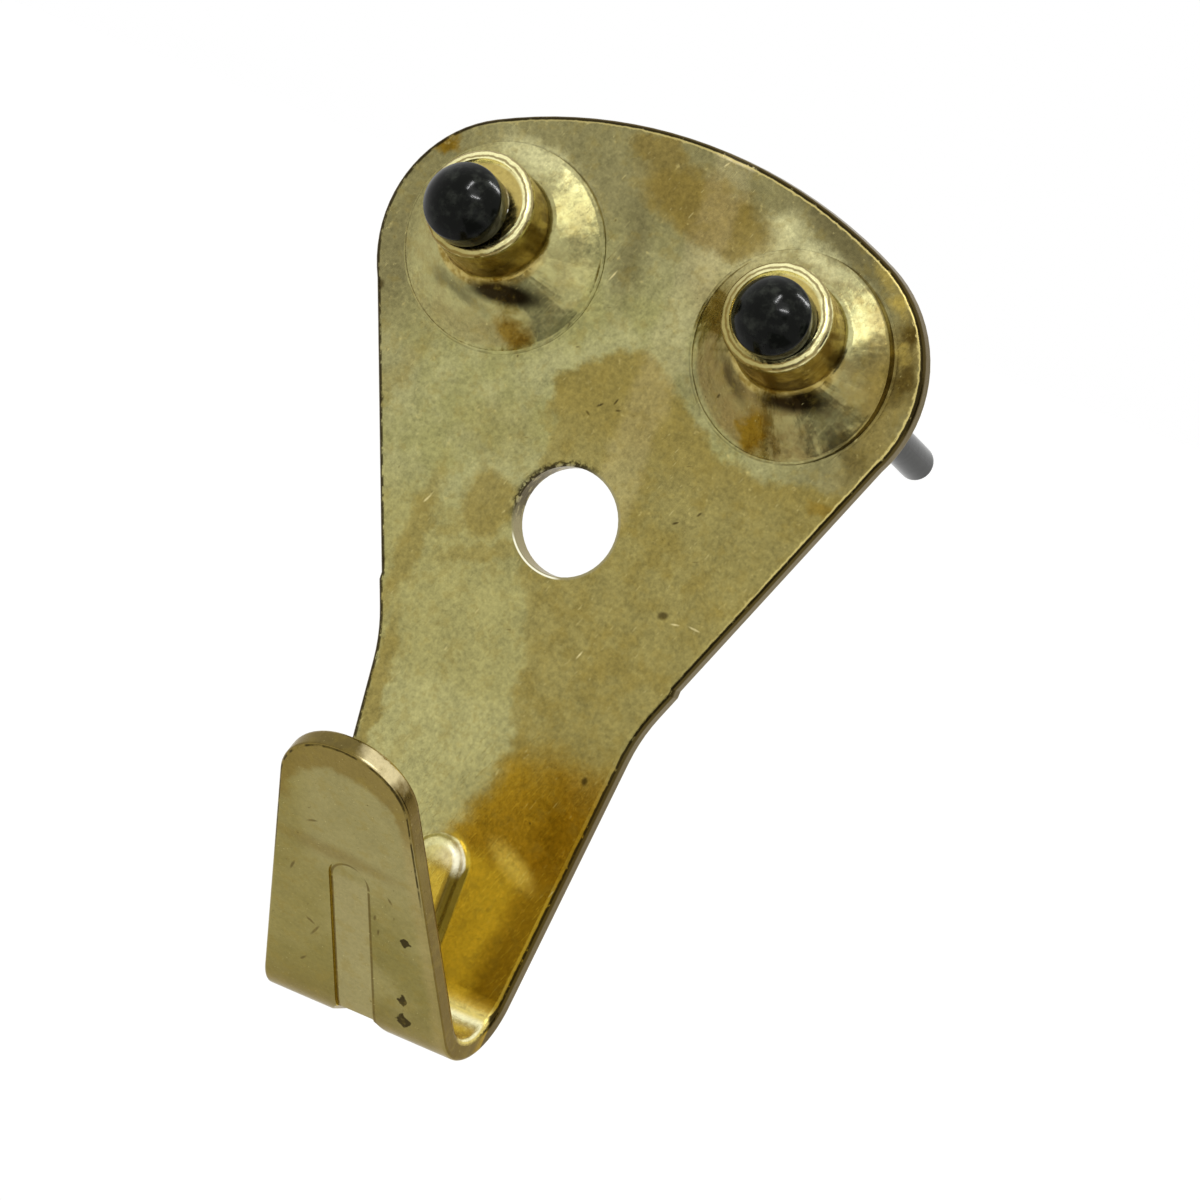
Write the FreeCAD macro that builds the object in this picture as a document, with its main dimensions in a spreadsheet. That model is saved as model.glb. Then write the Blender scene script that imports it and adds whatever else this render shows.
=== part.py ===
import FreeCAD, Part
import math
import os

import Sketcher

# A two-nail picture hook: one stamped brass-plated sheet with a shield-shaped head,
# two drawn nail collars, a centre hole and a ribbed, upturned tongue, and the two
# domed nails that its collars carry.
#
# Frame: the wall is the plane Y = 0 and the hook stands in front of it, towards -Y.
# X runs along the wall, Z is up, and the origin is the centre of the hole at the wall.
# Lengths are millimetres and angles are degrees. A drop is a distance below the origin.

SIZES = {
    # Sheet and head
    "sheet_thickness": 1.3,
    "hole_diameter": 6.0,
    "crown_height": 21.67,
    "crown_radius": 28.0,
    "shoulder_radius": 7.5,
    "shoulder_x": 8.8,
    "side_top_from_crown": 13.07,
    # Tapering sides, neck and strip
    "side_foot_x": 9.13,
    "side_foot_drop": 6.26,
    "nick_depth": 0.02,
    "nick_height": 0.4,
    "neck_radius": 10.0,
    "strip_half_width": 6.3,
    "strip_taper": 5.9,
    # Bend and tongue
    "bend_drop": 25.4,
    "bend_radius": 2.2,
    "tongue_lean": 46.0,
    "tongue_length": 20.0,
    "tongue_top_land": 0.1,
    # Stiffening rib pressed round the bend; on the outer side the punch leaves a shallow
    # groove and, under the bend, a deeper dip
    "rib_lead": 5.8,
    "rib_half_width": 2.0,
    "rib_crest_half_width": 0.85,
    "rib_height": 0.7,
    "rib_run_on_tongue": 10.1,
    "groove_half_width": 1.16,
    "groove_depth": 0.14,
    "dip_depth": 0.5,
    # Nail bosses: a raised disc, tipped outwards, with a cone that carries the collar
    "boss_x": 8.78,
    "boss_from_crown": 9.06,
    "boss_radius": 5.76,
    "boss_step": 0.42,
    "boss_tip": 3.2,
    "boss_tip_heading": 27.0,
    "boss_land": 0.12,
    "hollow_radius": 5.6,
    "hollow_top_radius": 2.3,
    "hollow_wall": 2.2,
    # Nail collars, tilted so that the nails run downwards into the wall; each nail lies
    # loose in its bore, a little flatter than the collar
    "collar_shift_x": 0.22,
    "collar_rise": 0.59,
    "collar_tilt": 13.0,
    "collar_radius": 3.05,
    "collar_start": 1.95,
    "collar_length": 3.7,
    "collar_bore": 3.3,
    "collar_lip_radius": 0.4,
    "collar_root_radius": 0.5,
    "seat_diameter": 5.0,
    "seat_depth": 0.35,
    # Nails
    "nail_tilt": 9.6,
    "shank_diameter": 2.1,
    "head_diameter": 4.36,
    "head_side": 1.25,
    "head_dome": 1.3,
    "head_edge_radius": 0.3,
    "nail_length": 33.4,
    "point_length": 2.2,
    "point_tip_radius": 0.25,
    "right_nail_lift": 0.16,
    "right_nail_slip_x": 0.16,
    "right_nail_sag": 0.22,
    "left_nail_lift": 0.9,
    "left_nail_slip_x": 0.12,
    "left_nail_sag": 0.49,
    # Edge rolled over by the blanking die, on the front of the head and inside the hook
    "edge_roll": 0.4,
    # Slight rounding of the outline on the back, which is the outside of the tongue
    "back_edge_roll": 0.2,
}

START, END, CENTRE = range(1, 4)
HORIZONTAL_AXIS, VERTICAL_AXIS = range(-1, -3, -1)
ORIGIN = (HORIZONTAL_AXIS, START)
CUT_MARGIN = 1.0
TOLERANCE = 0.01

# Expressions that several features share
SIDE_TOP_Z = "(sizes.crown_height - sizes.side_top_from_crown)"
BOSS_Z = "(sizes.crown_height - sizes.boss_from_crown)"
COLLAR_X = "(sizes.boss_x + sizes.collar_shift_x)"
COLLAR_Z = "(%s + sizes.collar_rise)" % BOSS_Z
RIB_TOP_DROP = "(sizes.bend_drop - sizes.rib_lead)"
MID_RADIUS = "(sizes.bend_radius + sizes.sheet_thickness / 2)"
TONGUE_END_Y = (
    "(-sizes.sheet_thickness / 2 - %s * (1 + cos(sizes.tongue_lean))"
    " - %%s * sin(sizes.tongue_lean))" % MID_RADIUS
)
TONGUE_END_Z = (
    "(-sizes.bend_drop - %s * sin(sizes.tongue_lean)"
    " + %%s * cos(sizes.tongue_lean))" % MID_RADIUS
)
BEND_ARC = "(%s * pi * (180 - sizes.tongue_lean) / 180)" % MID_RADIUS
TONGUE_END_HALF_WIDTH = (
    "(sizes.strip_half_width - (%s + sizes.tongue_length) * tan(sizes.strip_taper))" % BEND_ARC
)

doc = FreeCAD.newDocument("picture_hook")
sheet = doc.addObject("Spreadsheet::Sheet", "sizes")
for row, (alias, value) in enumerate(SIZES.items(), start=1):
    sheet.set("A%d" % row, alias)
    sheet.set("B%d" % row, str(value))
    sheet.setAlias("B%d" % row, alias)
doc.recompute()


def size(alias):
    """Read one driving dimension back from the sheet."""
    return float(sheet.get(alias))


def origin_feature(body, role):
    """One of the body's own origin planes or axes."""
    return next(item for item in body.Origin.OriginFeatures if item.Role == role)


def bind(feature, bindings):
    """Tie properties of a feature to expressions over the sheet."""
    for path, expression in bindings.items():
        feature.setExpression(path, expression)


def new_feature(body, kind, name, profile, **settings):
    """Add a feature that is made from a sketch; string settings become expressions."""
    feature = body.newObject("PartDesign::" + kind, name)
    feature.Profile = profile
    for setting, value in settings.items():
        if isinstance(value, str) and value.startswith("="):
            feature.setExpression(setting, value[1:])
        else:
            setattr(feature, setting, value)
    return feature


# Sketch helpers


def new_sketch(body, name, plane, place=None, turn=None):
    """A sketch on an origin plane of its body. place binds its offset from the plane, turn
    is a rotation of the sketch there."""
    sketch = body.newObject("Sketcher::SketchObject", name)
    sketch.AttachmentSupport = [(origin_feature(body, plane), "")]
    sketch.MapMode = "FlatFace"
    if turn is not None:
        sketch.AttachmentOffset = FreeCAD.Placement(FreeCAD.Vector(), turn)
    for axis, expression in (place or {}).items():
        sketch.setExpression("AttachmentOffset.Base." + axis, expression)
    return sketch


def add_line(sketch, start, end):
    return sketch.addGeometry(
        Part.LineSegment(FreeCAD.Vector(*start, 0), FreeCAD.Vector(*end, 0))
    )


def add_arc(sketch, centre, radius, first, last):
    """A counter-clockwise arc between two angles in degrees."""
    circle = Part.Circle(FreeCAD.Vector(*centre, 0), FreeCAD.Vector(0, 0, 1), radius)
    return sketch.addGeometry(
        Part.ArcOfCircle(circle, math.radians(first), math.radians(last))
    )


def join(sketch, first, first_end, second, second_end, kind="Coincident"):
    sketch.addConstraint(Sketcher.Constraint(kind, first, first_end, second, second_end))


def level(sketch, *lines):
    for item in lines:
        sketch.addConstraint(Sketcher.Constraint("Horizontal", item))


def upright(sketch, *lines):
    for item in lines:
        sketch.addConstraint(Sketcher.Constraint("Vertical", item))


def on_vertical_axis(sketch, item, end):
    sketch.addConstraint(Sketcher.Constraint("PointOnObject", item, end, VERTICAL_AXIS))


def dimension(sketch, name, expression, kind, *places):
    """A named driving dimension, tied to an expression over the sheet."""
    index = sketch.addConstraint(Sketcher.Constraint(kind, *places))
    sketch.renameConstraint(index, name)
    sketch.setExpression("Constraints." + name, expression)


def circle_sketch(body, name, plane, radius, place, turn=None):
    """A sketch that holds one circle about its own origin."""
    sketch = new_sketch(body, name, plane, place, turn)
    circle = sketch.addGeometry(
        Part.Circle(FreeCAD.Vector(), FreeCAD.Vector(0, 0, 1), size("sheet_thickness"))
    )
    join(sketch, circle, CENTRE, *ORIGIN)
    dimension(sketch, "radius", radius, "Radius", circle, size("sheet_thickness"))
    return sketch


def half_rectangle(sketch, width, low, high, guess):
    """A rectangle from the vertical axis to width, and from low to high along that axis."""
    wide, bottom, top = guess
    base = add_line(sketch, (0, bottom), (wide, bottom))
    side = add_line(sketch, (wide, bottom), (wide, top))
    cap = add_line(sketch, (wide, top), (0, top))
    spine = add_line(sketch, (0, top), (0, bottom))
    for first, second in ((base, side), (side, cap), (cap, spine), (spine, base)):
        join(sketch, first, END, second, START)
    level(sketch, base, cap)
    upright(sketch, side, spine)
    on_vertical_axis(sketch, base, START)
    dimension(sketch, "width", width, "DistanceX", base, START, base, END, wide)
    dimension(sketch, "low", low, "DistanceY", *ORIGIN, base, START, bottom)
    dimension(sketch, "high", high, "DistanceY", *ORIGIN, cap, END, top)


# The stamped plate: its right half is modelled, then mirrored


def draw_head_outline(body):
    """Front view of the right half: crown, shoulder, tapering side, neck and strip."""
    sketch = new_sketch(body, "head_outline", "XZ_Plane")
    crown_z = size("crown_height") - size("crown_radius")
    reach = size("crown_radius") - size("shoulder_radius")
    shoulder_z = crown_z + math.sqrt(reach**2 - size("shoulder_x") ** 2)
    turn_angle = math.degrees(math.atan2(shoulder_z - crown_z, size("shoulder_x")))
    side_top = size("crown_height") - size("side_top_from_crown")
    foot_angle = math.degrees(math.asin((side_top - shoulder_z) / size("shoulder_radius")))
    side_top_x = size("shoulder_x") + size("shoulder_radius") * math.cos(math.radians(foot_angle))
    foot = (size("side_foot_x"), -size("side_foot_drop"))
    inset = (foot[0] - size("nick_depth"), foot[1] - size("nick_height"))
    drop = -size("bend_drop")
    width = size("strip_half_width")
    taper = math.radians(size("strip_taper"))
    side_angle = math.atan2(side_top_x - foot[0], side_top - foot[1])
    # The neck arc lies between the side's line and the strip's, outside both
    corner_z = (
        width - drop * math.tan(taper) - inset[0] + inset[1] * math.tan(side_angle)
    ) / (math.tan(side_angle) - math.tan(taper))
    corner_x = width + (corner_z - drop) * math.tan(taper)
    setback = size("neck_radius") * math.tan((side_angle - taper) / 2)
    above = (
        corner_x + setback * math.sin(side_angle),
        corner_z + setback * math.cos(side_angle),
    )
    below = (corner_x - setback * math.sin(taper), corner_z - setback * math.cos(taper))
    neck_centre = (
        above[0] + size("neck_radius") * math.cos(side_angle),
        above[1] - size("neck_radius") * math.sin(side_angle),
    )

    crown = add_arc(sketch, (0, crown_z), size("crown_radius"), turn_angle, 90)
    shoulder = add_arc(
        sketch, (size("shoulder_x"), shoulder_z), size("shoulder_radius"), foot_angle, turn_angle
    )
    side = add_line(sketch, (side_top_x, side_top), foot)
    nick = add_line(sketch, foot, inset)
    slope = add_line(sketch, inset, above)
    neck = add_arc(
        sketch,
        neck_centre,
        size("neck_radius"),
        180 - math.degrees(side_angle),
        180 - math.degrees(taper),
    )
    strip = add_line(sketch, (width, drop), below)
    bottom = add_line(sketch, (width, drop), (0, drop))
    centre_line = add_line(sketch, (0, drop), (0, size("crown_height")))

    join(sketch, crown, START, shoulder, END, "Tangent")
    join(sketch, shoulder, START, side, START)
    join(sketch, side, END, nick, START)
    join(sketch, nick, END, slope, START)
    join(sketch, slope, END, neck, START, "Tangent")
    join(sketch, neck, END, strip, END, "Tangent")
    join(sketch, strip, START, bottom, START)
    join(sketch, bottom, END, centre_line, START)
    join(sketch, centre_line, END, crown, END)
    on_vertical_axis(sketch, crown, CENTRE)
    on_vertical_axis(sketch, crown, END)
    level(sketch, bottom)
    upright(sketch, centre_line)
    sketch.addConstraint(Sketcher.Constraint("Parallel", side, slope))
    dimension(sketch, "crown_radius", "sizes.crown_radius", "Radius", crown, size("crown_radius"))
    dimension(
        sketch, "crown_height", "sizes.crown_height",
        "DistanceY", *ORIGIN, crown, END, size("crown_height"),
    )
    dimension(
        sketch, "shoulder_radius", "sizes.shoulder_radius",
        "Radius", shoulder, size("shoulder_radius"),
    )
    dimension(
        sketch, "shoulder_x", "sizes.shoulder_x",
        "DistanceX", *ORIGIN, shoulder, CENTRE, size("shoulder_x"),
    )
    dimension(
        sketch, "side_top_height", SIDE_TOP_Z, "DistanceY", *ORIGIN, side, START, side_top
    )
    dimension(
        sketch, "side_foot_x", "sizes.side_foot_x",
        "DistanceX", *ORIGIN, side, END, size("side_foot_x"),
    )
    dimension(
        sketch, "side_foot_drop", "sizes.side_foot_drop",
        "DistanceY", side, END, *ORIGIN, size("side_foot_drop"),
    )
    dimension(
        sketch, "nick_depth", "sizes.nick_depth",
        "DistanceX", nick, END, nick, START, size("nick_depth"),
    )
    dimension(
        sketch, "nick_height", "sizes.nick_height",
        "DistanceY", nick, END, nick, START, size("nick_height"),
    )
    dimension(sketch, "neck_radius", "sizes.neck_radius", "Radius", neck, size("neck_radius"))
    dimension(
        sketch, "strip_half_width", "sizes.strip_half_width",
        "DistanceX", *ORIGIN, strip, START, width,
    )
    dimension(
        sketch, "bend_drop", "sizes.bend_drop",
        "DistanceY", strip, START, *ORIGIN, size("bend_drop"),
    )
    dimension(
        sketch, "strip_taper", "90 - sizes.strip_taper",
        "Angle", strip, math.radians(90) - taper,
    )
    return sketch


def draw_bend_path(body, name, lead, run, run_expression):
    """Side view of the sheet's middle: an optional straight lead down the strip, the bend,
    and a straight run up the tongue."""
    sketch = new_sketch(body, name, "YZ_Plane")
    lean = math.radians(size("tongue_lean"))
    middle = -size("sheet_thickness") / 2
    radius = size("bend_radius") + size("sheet_thickness") / 2
    drop = -size("bend_drop")
    centre = (middle - radius, drop)
    foot = (centre[0] - radius * math.cos(lean), centre[1] - radius * math.sin(lean))
    tip = (foot[0] - run * math.sin(lean), foot[1] + run * math.cos(lean))
    bend = add_arc(sketch, centre, radius, size("tongue_lean") - 180, 0)
    tongue = add_line(sketch, foot, tip)
    join(sketch, bend, START, tongue, START, "Tangent")
    sketch.addConstraint(Sketcher.Constraint("Horizontal", bend, CENTRE, bend, END))
    dimension(sketch, "radius", MID_RADIUS, "Radius", bend, radius)
    dimension(
        sketch, "middle", "sizes.sheet_thickness / 2", "DistanceX", bend, END, *ORIGIN, -middle
    )
    dimension(sketch, "drop", "sizes.bend_drop", "DistanceY", bend, END, *ORIGIN, -drop)
    dimension(
        sketch, "lean", "90 + sizes.tongue_lean", "Angle", tongue, math.radians(90) + lean
    )
    dimension(sketch, "run", run_expression, "Distance", tongue, run)
    if lead:
        strip = add_line(sketch, (middle, drop + size("rib_lead")), (middle, drop))
        join(sketch, strip, END, bend, END)
        upright(sketch, strip)
        dimension(sketch, "lead", "sizes.rib_lead", "Distance", strip, size("rib_lead"))
    return sketch


def tongue_turn():
    """Turns a section of the strip into a section of the tongue, about X."""
    return FreeCAD.Rotation(FreeCAD.Vector(1, 0, 0), size("tongue_lean") - 180)


def draw_rib_profile(body, name, place, turn=None, plane="XY_Plane", height="rib_height"):
    """Half section of the rib: a flat crest and an ogee flank, rooted in the sheet."""
    sketch = new_sketch(body, name, plane, place, turn)
    wide, crest_wide = size("rib_half_width"), size("rib_crest_half_width")
    face = -size("sheet_thickness") / 2
    crest = face - size(height)
    spread = wide - crest_wide
    radius = (spread**2 + size(height) ** 2) / (4 * size(height))
    swing = math.degrees(2 * math.atan2(size(height), spread))
    root = add_line(sketch, (0, 0), (wide, 0))
    wall = add_line(sketch, (wide, 0), (wide, face))
    foot = add_arc(sketch, (wide, face - radius), radius, 90, 90 + swing)
    shoulder = add_arc(sketch, (crest_wide, crest + radius), radius, 270, 270 + swing)
    top = add_line(sketch, (crest_wide, crest), (0, crest))
    centre_line = add_line(sketch, (0, crest), (0, 0))
    join(sketch, root, START, *ORIGIN)
    join(sketch, root, END, wall, START)
    join(sketch, wall, END, foot, START)
    join(sketch, foot, END, shoulder, END, "Tangent")
    join(sketch, shoulder, START, top, START, "Tangent")
    join(sketch, top, END, centre_line, START)
    join(sketch, centre_line, END, root, START)
    level(sketch, root, top)
    upright(sketch, wall, centre_line)
    sketch.addConstraint(Sketcher.Constraint("Vertical", foot, CENTRE, foot, START))
    sketch.addConstraint(Sketcher.Constraint("Equal", foot, shoulder))
    dimension(
        sketch, "half_width", "sizes.rib_half_width", "DistanceX", root, START, root, END, wide
    )
    dimension(
        sketch, "root_depth", "sizes.sheet_thickness / 2",
        "DistanceY", wall, END, wall, START, -face,
    )
    dimension(
        sketch, "crest_half_width", "sizes.rib_crest_half_width",
        "DistanceX", top, END, top, START, crest_wide,
    )
    dimension(
        sketch, "height", "sizes.sheet_thickness / 2 + sizes." + height,
        "DistanceY", centre_line, START, centre_line, END, -crest,
    )
    return sketch


def draw_groove_profile(body, name, place, turn=None):
    sketch = new_sketch(body, name, "XY_Plane", place, turn)
    low = size("sheet_thickness") / 2 - size("groove_depth")
    half_rectangle(
        sketch,
        "sizes.groove_half_width",
        "sizes.sheet_thickness / 2 - sizes.groove_depth",
        "sizes.sheet_thickness / 2 + %g" % CUT_MARGIN,
        (size("groove_half_width"), low, size("sheet_thickness") / 2 + CUT_MARGIN),
    )
    return sketch


def edges_where(feature, test):
    """Names of the feature's edges that pass a test, for a fillet or chamfer."""
    return [
        "Edge%d" % number
        for number, edge in enumerate(feature.Shape.Edges, start=1)
        if not edge.Degenerated and test(edge)
    ]


def dress(body, kind, name, base, edges, **bindings):
    """A fillet or chamfer on edges of the body's newest feature."""
    feature = body.newObject("PartDesign::" + kind, name)
    feature.Base = (base, edges)
    bind(feature, bindings)
    doc.recompute()
    return feature


def add_strip_and_tongue(body):
    new_feature(
        body, "Pad", "head", draw_head_outline(body), Length="=sizes.sheet_thickness"
    )
    thickness = size("sheet_thickness")
    strip_section = new_sketch(
        body, "strip_section", "XY_Plane",
        {"y": "-sizes.sheet_thickness / 2", "z": "-sizes.bend_drop"},
    )
    half_sheet = ("-sizes.sheet_thickness / 2", "sizes.sheet_thickness / 2")
    half_rectangle(
        strip_section, "sizes.strip_half_width", *half_sheet,
        (size("strip_half_width"), -thickness / 2, thickness / 2),
    )
    tongue_section = new_sketch(
        body, "tongue_section", "XY_Plane",
        {
            "y": TONGUE_END_Y % "sizes.tongue_length",
            "z": TONGUE_END_Z % "sizes.tongue_length",
        },
        tongue_turn(),
    )
    half_rectangle(
        tongue_section, TONGUE_END_HALF_WIDTH, *half_sheet,
        (size("strip_half_width"), -thickness / 2, thickness / 2),
    )
    path = draw_bend_path(
        body, "tongue_path", False, size("tongue_length"), "sizes.tongue_length"
    )
    doc.recompute()
    tongue = new_feature(body, "AdditivePipe", "tongue", strip_section)
    tongue.Spine = path
    tongue.Sections = [tongue_section]
    tongue.Transformation = "Multisection"
    doc.recompute()
    end_z = tongue_section.Placement.Base.z

    def is_top_corner(edge):
        return (
            abs(edge.Length - thickness) < TOLERANCE
            and edge.CenterOfMass.x > TOLERANCE
            and abs(edge.CenterOfMass.z - end_z) < TOLERANCE
        )

    dress(
        body, "Fillet", "tongue_top", tongue, edges_where(tongue, is_top_corner),
        Radius="(%s - sizes.tongue_top_land) * tan(45 + sizes.strip_taper / 2)"
        % TONGUE_END_HALF_WIDTH,
    )


def add_rib(body):
    """The rib inside the hook and its groove outside, each swept and closed by a round end."""
    path = draw_bend_path(
        body, "rib_path", True, size("rib_run_on_tongue"), "sizes.rib_run_on_tongue"
    )
    top = {"y": "-sizes.sheet_thickness / 2", "z": "-" + RIB_TOP_DROP}
    foot = {
        "y": TONGUE_END_Y % "sizes.rib_run_on_tongue",
        "z": TONGUE_END_Z % "sizes.rib_run_on_tongue",
    }
    for label, draw, pipe, turned in (
        ("rib", draw_rib_profile, "AdditivePipe", "Revolution"),
        ("groove", draw_groove_profile, "SubtractivePipe", "Groove"),
    ):
        top_profile = draw(body, label + "_top_profile", top)
        foot_profile = draw(body, label + "_foot_profile", foot, tongue_turn())
        swept = new_feature(body, pipe, label + "_run", top_profile)
        swept.Spine = path
        doc.recompute()
        for name, profile in (("top", top_profile), ("foot", foot_profile)):
            new_feature(
                body, turned, "%s_%s_end" % (label, name), profile,
                ReferenceAxis=(profile, ["V_Axis"]), Angle=180.0, Midplane=True,
            )
            doc.recompute()


def add_dip(body):
    """The dip under the bend: the rib's section, cut straight through, so that it runs out
    where the bend curves up on either side."""
    upside_down = FreeCAD.Rotation(FreeCAD.Vector(1, 0, 0), 180)
    bottom = "-sizes.bend_drop - sizes.bend_radius - sizes.sheet_thickness * 3 / 2"
    profile = draw_rib_profile(
        body, "dip_profile", {"y": bottom}, upside_down, "XZ_Plane", "dip_depth"
    )
    new_feature(
        body, "Pocket", "bend_dip", profile,
        Length="=2 * (sizes.bend_radius + sizes.sheet_thickness)",
    )
    doc.recompute()


def collar_place(distance):
    """A point on the collar's axis, at a distance in front of the plate's front face, in the
    axes of the wall plane's sketches."""
    return {
        "x": COLLAR_X,
        "y": COLLAR_Z + " + (%s) * sin(sizes.collar_tilt)" % distance,
        "z": "sizes.sheet_thickness + (%s) * cos(sizes.collar_tilt)" % distance,
    }


def boss_place(level_expression):
    return {"x": "sizes.boss_x", "y": BOSS_Z, "z": level_expression}


def add_boss(body):
    """Raised disc, cone and collar in front; hollow, bore and nail seat behind and inside."""
    heading = math.radians(size("boss_tip_heading"))
    tip = FreeCAD.Rotation(
        FreeCAD.Vector(math.sin(heading), -math.cos(heading), 0), size("boss_tip")
    )
    tilt = FreeCAD.Rotation(FreeCAD.Vector(-1, 0, 0), size("collar_tilt"))
    rim = "sizes.collar_start + sizes.collar_length"

    disc = circle_sketch(
        body, "boss_disc_circle", "XZ_Plane", "sizes.boss_radius",
        boss_place("sizes.sheet_thickness / 2"), tip,
    )
    new_feature(
        body, "Pad", "boss_disc", disc, Length="=sizes.sheet_thickness / 2 + sizes.boss_step"
    )
    cone_foot = circle_sketch(
        body, "cone_foot", "XZ_Plane", "sizes.boss_radius - sizes.boss_land",
        boss_place("sizes.sheet_thickness + sizes.boss_step"), tip,
    )
    cone_top = circle_sketch(
        body, "cone_top", "XZ_Plane", "sizes.collar_radius", collar_place("sizes.collar_start"), tilt
    )
    cone = new_feature(body, "AdditiveLoft", "boss_cone", cone_foot)
    cone.Sections = [cone_top]
    doc.recompute()
    collar = new_feature(body, "Pad", "collar", cone_top, Length="=sizes.collar_length")
    doc.recompute()

    def is_collar_circle(distance):
        along = math.radians(size("collar_tilt"))
        foot_z = size("crown_height") - size("boss_from_crown") + size("collar_rise")
        centre = FreeCAD.Vector(
            size("boss_x") + size("collar_shift_x"),
            -size("sheet_thickness") - distance * math.cos(along),
            foot_z + distance * math.sin(along),
        )

        def test(edge):
            curve = edge.Curve
            return (
                isinstance(curve, Part.Circle)
                and abs(curve.Radius - size("collar_radius")) < TOLERANCE
                and curve.Center.distanceToPoint(centre) < TOLERANCE
            )

        return test

    root = dress(
        body, "Fillet", "collar_root", collar,
        edges_where(collar, is_collar_circle(size("collar_start"))),
        Radius="sizes.collar_root_radius",
    )
    dress(
        body, "Fillet", "collar_lip", root,
        edges_where(root, is_collar_circle(size("collar_start") + size("collar_length"))),
        Radius="sizes.collar_lip_radius",
    )

    hollow_mouth = circle_sketch(
        body, "hollow_mouth", "XZ_Plane", "sizes.hollow_radius", boss_place("0")
    )
    hollow_top = circle_sketch(
        body, "hollow_top", "XZ_Plane", "sizes.hollow_top_radius",
        collar_place("sizes.collar_start - sizes.hollow_wall"), tilt,
    )
    hollow = new_feature(body, "SubtractiveLoft", "hollow", hollow_mouth)
    hollow.Sections = [hollow_top]
    doc.recompute()
    bore = circle_sketch(
        body, "bore_circle", "XZ_Plane", "sizes.collar_bore / 2", collar_place(rim), tilt
    )
    new_feature(
        body, "Pocket", "bore", bore,
        Length="=sizes.collar_length + sizes.hollow_wall + %g" % CUT_MARGIN,
    )
    seat = circle_sketch(
        body, "seat_circle", "XZ_Plane", "sizes.seat_diameter / 2", collar_place(rim), tilt
    )
    new_feature(body, "Pocket", "nail_seat", seat, Length="=sizes.seat_depth")
    doc.recompute()


def roll_edge(body, name, face_y, radius):
    """Round the outline of the half plate on its front or back, on round the bend and tongue."""
    foot = -size("bend_drop")

    def is_outline(edge):
        middle = edge.CenterOfMass
        return (
            isinstance(edge.Curve, (Part.Line, Part.Circle))
            and edge.Length > TOLERANCE
            and abs(edge.BoundBox.YMin - face_y) < TOLERANCE
            and abs(edge.BoundBox.YMax - face_y) < TOLERANCE
            and middle.x > size("rib_half_width") + TOLERANCE
            and middle.z > foot + TOLERANCE
            and not is_inner_edge(edge)
        )

    def is_inner_edge(edge):
        """The hollow's mouth, which isn't part of the outline."""
        centre = FreeCAD.Vector(
            size("boss_x"), face_y, size("crown_height") - size("boss_from_crown")
        )
        return (
            isinstance(edge.Curve, Part.Circle)
            and edge.Curve.Center.distanceToPoint(centre) < TOLERANCE
        )

    last = body.Group[-1]
    dress(body, "Fillet", name, last, edges_where(last, is_outline), Radius=radius)


def build_plate():
    body = doc.addObject("PartDesign::Body", "hanger_plate")
    body.Label = "hanger_plate"
    add_strip_and_tongue(body)
    add_rib(body)
    add_dip(body)
    add_boss(body)
    roll_edge(body, "front_edge_roll", -size("sheet_thickness"), "sizes.edge_roll")
    roll_edge(body, "back_edge_roll", 0, "sizes.back_edge_roll")
    whole = body.newObject("PartDesign::Mirrored", "both_halves")
    whole.TransformMode = "Whole shape"
    whole.MirrorPlane = (origin_feature(body, "YZ_Plane"), [""])
    body.Tip = whole
    doc.recompute()
    hole = circle_sketch(
        body, "hole_circle", "XZ_Plane", "sizes.hole_diameter / 2",
        {"z": "sizes.sheet_thickness"},
    )
    new_feature(body, "Pocket", "centre_hole", hole, Length="=sizes.sheet_thickness")
    doc.recompute()
    return body


# The nails: each is turned about its own Z, with the underside of its head at Z = 0


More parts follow.
